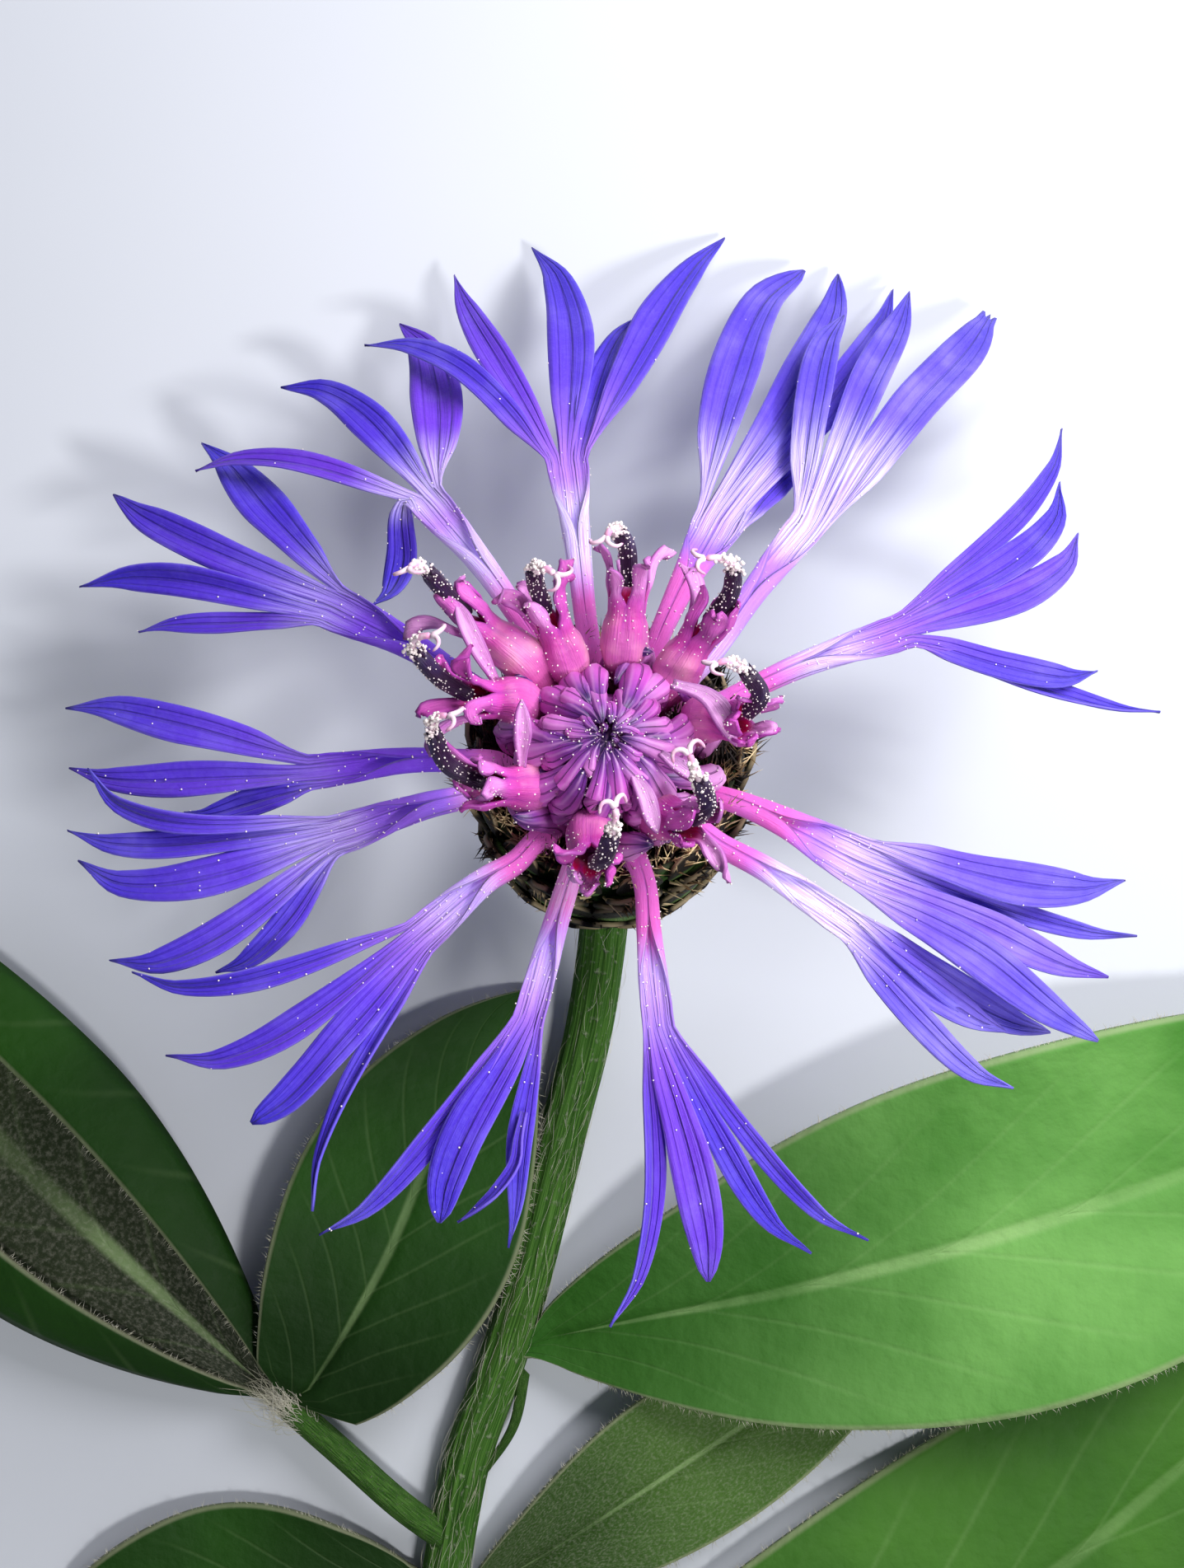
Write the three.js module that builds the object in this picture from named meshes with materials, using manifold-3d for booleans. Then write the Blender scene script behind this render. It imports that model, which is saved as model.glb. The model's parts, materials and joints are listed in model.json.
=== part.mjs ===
// Mountain cornflower (Centaurea montana), picked and laid down: one open flower head on its leafy stem.
// Millimetres, +Z up. The stem and the leaves lie on the surface z = 0, the cut end points to -Y, and
// the neck bends up behind the head so that the open flower looks upwards.
//
// Places are first worked out round the point under the middle of the flower head. The last lines move
// the whole plant so that the origin is the middle of its footprint.

import * as THREE from "three";
import { mergeVertices } from "three/addons/utils/BufferGeometryUtils.js";
import Module from "manifold-3d";

const wasm = await Module();
wasm.setup();

// ---- driving dimensions ----------------------------------------------------------------------------

const CLEARANCE = 0.3; // between pieces that touch
const FOOTPRINT_MIDDLE = [2.5, -37.1]; // of the plant, measured from the middle of the head

const HEAD_HEIGHT = 24; // receptacle floor above the surface
const HEAD_TILT = 20; // degrees, the axis of the head leans this far from upright towards +Y

const CUP_REACH = 7.3; // inner radius of the cup that the scales form round the florets
const CUP_RIM = 1.8; // height of that rim over the receptacle floor
const INVOLUCRE_RADIUS = 7.3; // at its widest, without the scales
const INVOLUCRE_DEPTH = 14; // from the receptacle floor down to the neck
const NECK_RADIUS = 1.55;

const STEM_RADIUS = 1.6;
const STEM_RIBS = 5;
const RIB_HEIGHT = 0.16;
const SHOOT_RADIUS = 1.0;

const RAY_ROOT_REACH = 6.1; // ray florets stand in a ring this far from the axis of the head
const RAY_TUBE_RADIUS = 0.55;
const RAY_LEVEL = 3.3; // height at which the tubes of the ray florets cross the rim
const RAY_LOBE_THICKNESS = 0.8;

const DISC_ROOT_REACH = 4.6;
const DISC_TUBE_RADIUS = 0.42;
const DISC_SWELLING_RADIUS = 1.05;
const DISC_SWELLING_LEVEL = 5.8;
const DISC_THROAT_LEVEL = 7.2;

const BUD_DOME_RADIUS = 4.0;
const BUD_DOME_TOP = 8.4;
const BUD_DOME_FOOT_RADIUS = 3.3;

const ANTHER_RADIUS = 0.6;
const POLLEN_RADIUS = 0.7;

const LEAF_THICKNESS = 0.7;
const MIDRIB_HEIGHT = 0.5;

// ---- small helpers ---------------------------------------------------------------------------------

const radians = THREE.MathUtils.degToRad;
const smoothstep = THREE.MathUtils.smoothstep;
const lerp = THREE.MathUtils.lerp;
const vec = (x, y, z) => new THREE.Vector3(x, y, z);

const AXIS = vec(0, 0, 1);

// A point of the head: bearing in degrees anticlockwise from +X, reach from the axis, height on it.
function polar(bearing, reach, height) {
  const angle = radians(bearing);
  return vec(reach * Math.cos(angle), reach * Math.sin(angle), height);
}

// The direction square to a radius, anticlockwise round the axis.
const tangential = (bearing) => polar(bearing + 90, 1, 0);

function smoothPath(points) {
  return new THREE.CatmullRomCurve3(points, false, "centripetal");
}

function geometryOf(positions, index) {
  const geometry = new THREE.BufferGeometry();
  geometry.setAttribute("position", new THREE.Float32BufferAttribute(positions, 3));
  geometry.setIndex(index);
  return geometry;
}

// A closed body through rings of points. Each ring runs anticlockwise round the way that the rings
// go, and the first and the last one are closed by a flat fan.
function loft(rings) {
  const sides = rings[0].length;
  const positions = rings.flat().flatMap((point) => point.toArray());
  const index = [];
  for (let ring = 0; ring + 1 < rings.length; ring += 1) {
    for (let side = 0; side < sides; side += 1) {
      const here = ring * sides + side;
      const beside = ring * sides + ((side + 1) % sides);
      index.push(here, beside, beside + sides, here, beside + sides, here + sides);
    }
  }
  const last = (rings.length - 1) * sides;
  for (let side = 1; side + 1 < sides; side += 1) {
    index.push(0, side + 1, side, last, last + side, last + side + 1);
  }
  return geometryOf(positions, index);
}

// One ring of an oval section, across the way that side x normal points.
function ovalRing(centre, side, normal, halfWidth, halfHeight, corners) {
  return Array.from({ length: corners }, (_, corner) => {
    const angle = (2 * Math.PI * corner) / corners;
    return centre.clone()
      .addScaledVector(side, halfWidth * Math.cos(angle))
      .addScaledVector(normal, halfHeight * Math.sin(angle));
  });
}

// Directions along, across and out of a path. `lean` settles which way is across where the path
// runs along the reference direction `up`.
function pathFrame(path, s, up, lean) {
  const along = path.getTangentAt(s);
  const side = up.clone().cross(along).addScaledVector(lean, 0.3);
  side.addScaledVector(along, -side.dot(along)).normalize();
  return { centre: path.getPointAt(s), along, side, normal: along.clone().cross(side) };
}

// A rod along a path, of oval section. halfWidth and halfHeight are functions of s, from 0 to 1.
function rod(path, stations, corners, up, lean, halfWidth, halfHeight) {
  return loft(stations.map((s) => {
    const { centre, side, normal } = pathFrame(path, s, up, lean);
    return ovalRing(centre, side, normal, halfWidth(s), halfHeight(s), corners);
  }));
}

const evenly = (steps) => Array.from({ length: steps + 1 }, (_, step) => step / steps);

// A thin blade: a grid of rows by columns points at each face and a wall round its edge. place gives
// the middle of the blade at (s, u), s from 0 to 1 along it and u from -1 to 1 across it, with the
// direction and half thickness in which its two faces lie. Both faces are cut into like triangles.
function blade(rows, columns, place) {
  const positions = [];
  for (const face of [1, -1]) {
    for (const s of rows) {
      for (const u of columns) {
        const { middle, normal, half } = place(s, u);
        positions.push(...middle.clone().addScaledVector(normal, face * half).toArray());
      }
    }
  }
  const width = columns.length;
  const under = rows.length * width;
  const index = [];
  for (let row = 0; row + 1 < rows.length; row += 1) {
    for (let column = 0; column + 1 < width; column += 1) {
      const a = row * width + column;
      const b = a + 1;
      const c = b + width;
      const d = a + width;
      index.push(a, b, c, a, c, d);
      index.push(under + a, under + c, under + b, under + a, under + d, under + c);
    }
  }
  const wall = (a, b) => index.push(b, a, under + a, b, under + a, under + b);
  for (let column = 0; column + 1 < width; column += 1) {
    wall(column, column + 1);
    wall((rows.length - 1) * width + column + 1, (rows.length - 1) * width + column);
  }
  for (let row = 0; row + 1 < rows.length; row += 1) {
    wall((row + 1) * width, row * width);
    wall(row * width + width - 1, (row + 1) * width + width - 1);
  }
  return geometryOf(positions, index);
}

// ---- joining solids --------------------------------------------------------------------------------

function toSolid(geometry) {
  const bare = geometry.clone();
  bare.deleteAttribute("normal");
  bare.deleteAttribute("uv");
  const merged = mergeVertices(bare, 1e-4);
  return new wasm.Manifold(new wasm.Mesh({
    numProp: 3,
    vertProperties: new Float32Array(merged.attributes.position.array),
    triVerts: new Uint32Array(merged.index.array),
  }));
}

// One body of several that overlap. A small hollow that they close in among them is filled.
function fuse(geometries) {
  const joined = geometries.map(toSolid).reduce((whole, part) => whole.add(part));
  const body = joined.decompose().reduce((one, other) => (other.volume() > one.volume() ? other : one));
  const mesh = body.getMesh();
  return geometryOf(Array.from(mesh.vertProperties), Array.from(mesh.triVerts));
}

const finish = (color, roughness) => new THREE.MeshStandardMaterial({ color, roughness, metalness: 0 });

const FINISHES = {
  ray: finish("#6a3fd0", 0.6),
  disc: finish("#d860bd", 0.55),
  bud: finish("#a83c9c", 0.55),
  anther: finish("#2a1030", 0.45),
  pollen: finish("#f3e3ee", 0.9),
  involucre: finish("#5d6b3a", 0.8),
  stem: finish("#5d8f3c", 0.75),
  leaf: finish("#3f8a2c", 0.6),
};

function piece(name, geometry, material) {
  const mesh = new THREE.Mesh(geometry, material);
  mesh.name = name;
  return mesh;
}

// ---- the ray florets -------------------------------------------------------------------------------

// Ray florets droop from the rim outwards, most on the side that leans down to the surface.
function rayHeight(bearing, reach, lift) {
  const droop = 5.5 + 3.5 * Math.sin(radians(bearing));
  const out = THREE.MathUtils.clamp((reach - 8) / 30, 0, 1.3);
  return 3 - droop * out ** 1.4 + lift;
}

// root: bearing of the root. throat: bearing and reach of the place where the funnel splits.
// mouth: half width of the funnel there.
// lobes: [bearing and reach of the tip, half width, sideways bow, lift over the other lobes].
const RAY_FLORETS = [
  {
    root: 153, throat: [147, 19], mouth: 1.9,
    lobes: [[137, 37, 1.6, -1.1, -0.6], [147, 38.8, 1.3, 0.4, 0], [158, 36.5, 0.9, -1, 0.3],
      [161, 31.4, 0.6, -0.2, -0.7]],
  },
  {
    root: 122, throat: [121, 21], mouth: 1.5,
    lobes: [[141, 34.5, 0.9, -2, 1], [127, 36.3, 1.3, -1.4, 0.3], [112, 38, 1.8, -2.2, -0.7],
      [143, 18.5, 0.9, 1, -1.6]],
  },
  {
    root: 99, throat: [97, 20.4], mouth: 1.6,
    lobes: [[117, 35.9, 1, -2, 0.9], [105, 41, 1, 0.1, 0], [97, 42.7, 1.6, -2.3, 0],
      [86, 35.3, 0.9, 0.9, -0.5], [79, 44.3, 1.4, 0.2, 0.2]],
  },
  {
    root: 68, throat: [68, 17], mouth: 1.9,
    lobes: [[71, 42.9, 1.6, 1.9, -0.2], [68, 43.9, 1.5, -1, -0.5], [63, 45, 1.1, -1.1, -1.2],
      [59, 26.4, 0.8, -0.1, -1.3]],
  },
  {
    root: 45, throat: [51, 19.7], mouth: 1.4,
    lobes: [[65, 38.2, 1.2, 0.8, 1.3], [61, 43.6, 1.4, 0.1, 0.9], [54, 45.8, 1.6, -0.4, 0.3]],
  },
  {
    root: 25, throat: [27, 19.4], mouth: 1.4,
    lobes: [[41, 40.6, 0.7, -1.2, 0], [36, 36.8, 1.2, -1.6, 0.3], [30, 35.3, 1.2, -1.5, 0],
      [13, 31.3, 1, -0.3, 0.2], [8, 34.9, 0.6, 0, -0.5]],
  },
  {
    root: 337, throat: [335, 15], mouth: 1.9,
    lobes: [[347, 31.5, 1.4, -0.3, 0.6], [342, 33, 0.6, -0.6, -0.4], [336, 32, 1.2, -0.5, 0.2],
      [329, 32.9, 1.3, -0.6, 0.6]],
  },
  {
    root: 318, throat: [322, 16.3], mouth: 1.2,
    lobes: [[320, 30.4, 0.9, -1, -0.8], [325, 28.2, 1.1, -0.5, -1.1]],
  },
  {
    root: 284, throat: [280, 15.5], mouth: 1.1,
    lobes: [[270, 33.1, 0.6, 1.1, 0], [280, 31.2, 1.3, 0, 0.3], [291, 31.2, 0.8, -1.2, 0],
      [297, 31.8, 0.6, -1.2, -0.3]],
  },
  {
    root: 254, throat: [254, 15.4], mouth: 1.1,
    lobes: [[240, 32.4, 0.7, 1.2, 0], [251, 29.1, 1.3, -0.4, 0.3], [259, 29.4, 0.8, 0.1, 0]],
  },
  {
    root: 232, throat: [226, 14.4], mouth: 1.5,
    lobes: [[205, 30.6, 0.7, 1.8, 0.8], [215, 31.1, 1, 2, 0.3], [227, 29.8, 1.2, 0.5, 0],
      [238, 31.5, 0.6, -0.9, -0.3]],
  },
  {
    root: 199, throat: [197, 15.7], mouth: 1.5,
    lobes: [[180, 31.5, 0.6, 2.2, 1.2], [186.5, 32.8, 0.9, 1, 0.5], [190, 32.3, 1, 2.1, 0.1],
      [202, 31.7, 1.1, 1.8, -0.2], [209, 26.3, 0.8, 0.9, -0.8]],
  },
  {
    root: 184, throat: [182.5, 16.7], mouth: 1.3,
    lobes: [[172, 34, 1.2, -0.8, 0.2], [178.5, 33.2, 1.1, 0.7, -0.6], [185.5, 25.8, 0.8, 0.5, -1.2]],
  },
];

const FUNNEL_STATIONS = [0, 0.12, 0.24, 0.36, 0.55, 0.78, 1];
const LOBE_STATIONS = [0, 0.2, 0.42, 0.64, 0.84, 1];

function rayTubePath({ root, throat: [bearing, reach] }) {
  const beyond = reach + 1.5;
  return smoothPath([
    polar(root, RAY_ROOT_REACH, 0.35),
    polar(root, RAY_ROOT_REACH + 0.05, 1.5),
    polar(root, RAY_ROOT_REACH + 0.8, 2.8),
    polar(root, CUP_REACH + 1.5, RAY_LEVEL),
    polar(lerp(root, bearing, 0.6), (CUP_REACH + reach) / 2, rayHeight(bearing, reach / 2, 0.4)),
    polar(bearing, reach, rayHeight(bearing, reach, 0)),
    polar(bearing, beyond, rayHeight(bearing, beyond, 0)),
  ]);
}

// A lobe starts inside the funnel and swings out to its tip.
function rayLobePath(tube, throat, tip, bow, lift) {
  const [bearing, reach] = throat;
  const start = tube.getPointAt(0.72);
  const mouth = polar(lerp(bearing, tip[0], 0.2), reach + 1.5, 0);
  const end = polar(tip[0], tip[1], 0);
  const way = end.clone().sub(mouth);
  const across = AXIS.clone().cross(way).normalize();
  const middle = mouth.clone().addScaledVector(way, 0.5).addScaledVector(across, bow);
  const place = (point, share) => {
    const at = THREE.MathUtils.radToDeg(Math.atan2(point.y, point.x));
    const out = Math.hypot(point.x, point.y);
    return vec(point.x, point.y, rayHeight(at, out, lift * share));
  };
  return smoothPath([start, place(mouth, 0.25), place(middle, 1), place(end, 1)]);
}

function lobeWidth(s) {
  const widest = 0.55;
  if (s < widest) {
    return lerp(0.5, 1, smoothstep(s, 0, widest));
  }
  return Math.max(0.1, Math.cos((Math.PI / 2) * ((s - widest) / (1 - widest))) ** 0.7);
}

function rayFloret(floret) {
  const lean = tangential(floret.root);
  const tube = rayTubePath(floret);
  const funnel = (s) => lerp(RAY_TUBE_RADIUS, floret.mouth, smoothstep(s, 0.3, 1));
  const depth = (s) => lerp(RAY_TUBE_RADIUS, 0.45, s);
  const parts = [rod(tube, FUNNEL_STATIONS, 6, AXIS, lean, funnel, depth)];
  for (const [bearing, reach, halfWidth, bow, lift] of floret.lobes) {
    const path = rayLobePath(tube, floret.throat, [bearing, reach], bow, lift);
    const width = (s) => halfWidth * lobeWidth(s);
    const thickness = (s) => (RAY_LOBE_THICKNESS / 2) * lerp(1, 0.4, smoothstep(s, 0.7, 1));
    parts.push(rod(path, LOBE_STATIONS, 4, AXIS, lean, width, thickness));
  }
  return fuse(parts);
}

// ---- the open disc florets, their anther tubes and their style tips --------------------------------

// swelling, throat: bearing and reach. anther: bearing, reach and height of the foot, the bend and the
// end of the dark tube. style: the same three for the end of the pale tip.
const DISC_FLORETS = [
  { swelling: [117, 5.7], throat: [117, 6.9], anther: [[118, 7.7, 8.1], [119, 8.6, 10], [119, 8.8, 12]],
    style: [114, 7.4, 13.3] },
  { swelling: [136, 6.7], throat: [140, 9.4], anther: [[141, 10.4, 8.3], [142, 12, 9.8], [143, 13, 11.6]],
    style: [147, 13.4, 13] },
  { swelling: [158, 5.8], throat: [166, 7], anther: [[169, 8, 8], [168, 9.8, 9.6], [165, 11.3, 11.4]],
    style: [162, 10.4, 12.9] },
  { swelling: [214, 5.8], throat: [211, 7.1], anther: [[209, 8, 8], [199, 9.6, 9.5], [191, 10, 11.4]],
    style: [190, 9, 12.8] },
  { swelling: [260, 6.1], throat: [262, 7.9], anther: [[264, 8.7, 8.4], [268, 8.8, 10.1], [271, 8, 11.8]],
    style: [272, 7, 13.1] },
  { swelling: [302, 5.9], throat: [304, 7], anther: [[307, 7.7, 8.3], [313, 7.9, 10.1], [315, 6.9, 11.8]],
    style: [318, 5.8, 13] },
  { swelling: [11, 5.8], throat: [2, 6.9], anther: [[1, 7.8, 8.7], [4, 8.5, 10.4], [11, 7.7, 12]],
    style: [14, 6.1, 13] },
  { swelling: [46, 5.8], throat: [47, 7.3], anther: [[47, 8.3, 8.1], [46, 10, 9.7], [48, 10.6, 11.6]],
    style: [56, 9.6, 12.9] },
  { swelling: [81, 5.8], throat: [82, 7.6], anther: [[82, 8.5, 8.2], [84, 10, 9.9], [87, 10.2, 11.8]],
    style: [91, 9.2, 13.1] },
];
const DISC_LOBES = 5;
const DISC_LOBE_LENGTH = 1.7;

// The shortest way round from one bearing to another, so that 11 and 357 lie 14 degrees apart.
function turnTo(from, to) {
  return from + THREE.MathUtils.euclideanModulo(to - from + 180, 360) - 180;
}

function discFloret({ swelling, throat, anther }) {
  const lean = tangential(swelling[0]);
  const foot = polar(...anther[0]);
  const neck = polar(turnTo(swelling[0], throat[0]), throat[1], DISC_THROAT_LEVEL);
  const belly = polar(...swelling, DISC_SWELLING_LEVEL);
  const end = neck.clone().lerp(foot, 0.45);
  const path = smoothPath([
    polar(swelling[0], DISC_ROOT_REACH, 0.35),
    polar(swelling[0], DISC_ROOT_REACH + 0.1, 2.6),
    belly,
    end,
  ]);
  const stations = [0, 0.4, 0.62, 0.74, 0.86, 1];
  const radii = [DISC_TUBE_RADIUS, DISC_TUBE_RADIUS, DISC_SWELLING_RADIUS, DISC_SWELLING_RADIUS, 0.8, 0.9];
  const radius = (s) => radii[stations.indexOf(s)];
  const parts = [rod(path, stations, 6, AXIS, lean, radius, radius)];
  const { along, side, normal } = pathFrame(path, 1, AXIS, lean);
  for (let lobe = 0; lobe < DISC_LOBES; lobe += 1) {
    const angle = (2 * Math.PI * (lobe + 0.5)) / DISC_LOBES;
    const outward = side.clone().multiplyScalar(Math.cos(angle)).addScaledVector(normal, Math.sin(angle));
    const across = along.clone().cross(outward);
    const root = end.clone().addScaledVector(outward, 0.75).addScaledVector(along, -0.4);
    const tip = end.clone().addScaledVector(outward, 2.3).addScaledVector(along, DISC_LOBE_LENGTH);
    parts.push(loft([
      ovalRing(root, outward, across, 0.34, 0.5, 4),
      ovalRing(tip, outward, across, 0.12, 0.12, 4),
    ]));
  }
  return fuse(parts);
}

function antherTube({ anther }) {
  const path = smoothPath(anther.map((point) => polar(...point)));
  const radius = (s) => ANTHER_RADIUS * lerp(0.95, 1.05, s);
  return rod(path, evenly(4), 6, AXIS, tangential(anther[0][0]), radius, radius);
}

// The pale tip: a tuft of pollen just past the end of the anther tube, narrowing to the style.
function styleTip({ anther, style }) {
  const end = polar(...anther[2]);
  const away = end.clone().sub(polar(...anther[1])).normalize();
  const start = end.clone().addScaledVector(away, CLEARANCE + 0.65);
  const path = smoothPath([start, polar(...style)]);
  const stations = [0, 0.3, 0.65, 1];
  const radii = [0.3, POLLEN_RADIUS, 0.5, 0.2];
  const radius = (s) => radii[stations.indexOf(s)];
  return rod(path, stations, 6, AXIS, tangential(anther[0][0]), radius, radius);
}

// ---- the dome of closed buds -----------------------------------------------------------------------

// Rows of buds: how many, reach and height of the foot, of the belly and of the inward tip, thickness.
const BUD_ROWS = [
  { count: 13, foot: [2.7, 2.2], belly: [3.45, 5.3], tip: [1.6, 8], radius: 0.93, turn: 0 },
  { count: 7, foot: [1.5, 4.6], belly: [1.7, 7], tip: [0.7, 8.2], radius: 0.8, turn: 0.5 },
];

function budDome() {
  const core = new THREE.LatheGeometry([
    new THREE.Vector2(0, 0.35),
    new THREE.Vector2(BUD_DOME_FOOT_RADIUS, 0.35),
    new THREE.Vector2(BUD_DOME_FOOT_RADIUS, 3),
    new THREE.Vector2(BUD_DOME_RADIUS - 0.6, 5.2),
    new THREE.Vector2(2.1, BUD_DOME_TOP - 1.1),
    new THREE.Vector2(0, BUD_DOME_TOP - 0.7),
  ], 12).rotateX(Math.PI / 2);
  const parts = [core];
  for (const row of BUD_ROWS) {
    for (let bud = 0; bud < row.count; bud += 1) {
      const bearing = (360 * (bud + row.turn)) / row.count;
      const path = smoothPath([row.foot, row.belly, row.tip].map((point) => polar(bearing, ...point)));
      const radius = (s) => row.radius * Math.max(0.35, Math.sin(Math.PI * lerp(0.2, 0.93, s)));
      parts.push(rod(path, evenly(3), 5, AXIS, tangential(bearing), radius, radius));
    }
  }
  return fuse(parts);
}

// ---- the involucre ---------------------------------------------------------------------------------

// Half outline of the cup, from the neck up to the rim: reach and height.
const CUP_OUTLINE = new THREE.SplineCurve([
  new THREE.Vector2(2, -INVOLUCRE_DEPTH),
  new THREE.Vector2(3.9, -12.6),
  new THREE.Vector2(6.3, -9.6),
  new THREE.Vector2(INVOLUCRE_RADIUS, -5.8),
  new THREE.Vector2(INVOLUCRE_RADIUS - 0.1, -2),
  new THREE.Vector2(INVOLUCRE_RADIUS + 0.35, CUP_RIM),
]);

// Rows of overlapping scales: count, place of the foot and of the tip along the outline (0 to 1), half
// width, and how far the tip stands off.
const SCALE_ROWS = [
  { count: 6, foot: 0.1, tip: 0.34, halfWidth: 1.9, flare: 0.5 },
  { count: 7, foot: 0.26, tip: 0.5, halfWidth: 2.2, flare: 0.55 },
  { count: 8, foot: 0.43, tip: 0.68, halfWidth: 2.4, flare: 0.6 },
  { count: 9, foot: 0.59, tip: 0.84, halfWidth: 2.2, flare: 0.8 },
  { count: 9, foot: 0.75, tip: 0.97, halfWidth: 2.1, flare: 1.2 },
];

function scale(row, bearing) {
  const place = (s, u) => {
    const spot = CUP_OUTLINE.getPointAt(lerp(row.foot, row.tip, s));
    const slope = CUP_OUTLINE.getTangentAt(lerp(row.foot, row.tip, s));
    const width = row.halfWidth * (s < 0.5 ? lerp(0.7, 1, s * 2) : Math.max(0.12, 2 - 2 * s) ** 0.7);
    const turn = THREE.MathUtils.radToDeg((u * width) / spot.x);
    const out = polar(bearing + turn, slope.y, -slope.x);
    const stand = lerp(-0.35, row.flare, s ** 1.5);
    const middle = polar(bearing + turn, spot.x, spot.y).addScaledVector(out, stand);
    return { middle, normal: out, half: 0.35 };
  };
  return blade([0, 0.6, 1], [-1, 0, 1], place);
}

function involucre() {
  const outside = CUP_OUTLINE.getPoints(6);
  const cup = new THREE.LatheGeometry([
    new THREE.Vector2(0, -INVOLUCRE_DEPTH),
    ...outside,
    new THREE.Vector2(CUP_REACH, CUP_RIM),
    new THREE.Vector2(CUP_REACH, 0),
    new THREE.Vector2(0, 0),
  ], 18).rotateX(Math.PI / 2);
  const parts = [cup];
  SCALE_ROWS.forEach((row, level) => {
    for (let count = 0; count < row.count; count += 1) {
      parts.push(scale(row, (360 * (count + 0.5 * (level % 2))) / row.count + 20 * level));
    }
  });
  return fuse(parts);
}

// ---- the stem with its side shoot ------------------------------------------------------------------

const tilt = radians(HEAD_TILT);
const inHead = (point) => point.clone().applyAxisAngle(vec(1, 0, 0), -tilt).add(vec(0, 0, HEAD_HEIGHT));

const STEM_LEVEL = STEM_RADIUS + RIB_HEIGHT; // height of its middle where it lies on the surface
const NECK_TOP = inHead(vec(0, 0, -INVOLUCRE_DEPTH - CLEARANCE));
const NECK_START = inHead(vec(0, 0, -INVOLUCRE_DEPTH - 2.2));

const STEM_PATH = smoothPath([
  vec(-18.6, -112, STEM_LEVEL),
  vec(-16, -94, STEM_LEVEL),
  vec(-13.4, -72, STEM_LEVEL),
  vec(-10.2, -50.2, STEM_LEVEL),
  vec(-7.3, -41.5, STEM_LEVEL),
  vec(-5.6, -36, STEM_LEVEL),
  vec(-2.9, -25, STEM_LEVEL + 0.1),
  vec(-1.3, -18.6, STEM_LEVEL + 0.6),
  vec(-0.4, -12.8, STEM_LEVEL + 2.5),
  vec(0, -8.2, STEM_LEVEL + 5.2),
  NECK_START,
  NECK_TOP,
]);

const SHOOT_NODE = vec(-23, -44.2, 2.4);
const SHOOT_PATH = smoothPath([
  vec(-10.9, -54.4, STEM_LEVEL + 0.4),
  vec(-14.4, -51.6, 2.9),
  vec(-18.6, -47.9, 2.8),
  SHOOT_NODE,
]);

function ribbedStem() {
  const corners = 2 * STEM_RIBS;
  const stations = evenly(36);
  return loft(stations.map((s) => {
    const { centre, side, normal } = pathFrame(STEM_PATH, s, AXIS, vec(-1, 0, 0));
    const radius = lerp(STEM_RADIUS, NECK_RADIUS, s);
    const flare = 0.35 * smoothstep(s, 0.97, 1);
    return ovalRing(centre, side, normal, 1, 1, corners).map((point, corner) => {
      const reach = radius + flare + (corner % 2 ? RIB_HEIGHT : -RIB_HEIGHT);
      return point.sub(centre).multiplyScalar(reach).add(centre);
    });
  }));
}

// The stem runs on beside each leaf as a low wing that fades out towards the cut end.
const WINGS = [
  { from: [-7.3, -41.8], to: [-9.8, -49.6], turn: 1 },
  { from: [-12, -61.4], to: [-13, -69], turn: -1 },
  { from: [-14.4, -81.6], to: [-15.6, -91], turn: 1 },
];

function wing({ from, to, turn }) {
  const top = vec(from[0], from[1], STEM_LEVEL);
  const foot = vec(to[0], to[1], STEM_LEVEL);
  const along = foot.clone().sub(top).normalize();
  const outward = along.clone().cross(AXIS).multiplyScalar(-turn);
  return blade(evenly(4), [0, 1], (s, u) => ({
    middle: top.clone().lerp(foot, s).addScaledVector(outward, u * (STEM_RADIUS + 1.1 * (1 - s))),
    normal: outward.clone().cross(along),
    half: 0.32,
  }));
}

function stem() {
  const shoot = rod(SHOOT_PATH, evenly(7), 7, AXIS, vec(0, 1, 0), () => SHOOT_RADIUS, () => SHOOT_RADIUS);
  return fuse([ribbedStem(), shoot, ...WINGS.map(wing)]);
}

// ---- the leaves ------------------------------------------------------------------------------------

// A lance-shaped outline: half width at s, as a share of the widest, which lies at `belly`.
function lance(s, belly, base) {
  if (s < belly) {
    return lerp(base, 1, Math.sin((Math.PI / 2) * (s / belly)) ** 0.9);
  }
  return Math.max(0.03, Math.cos((Math.PI / 2) * ((s - belly) / (1 - belly))) ** 0.85);
}

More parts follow.
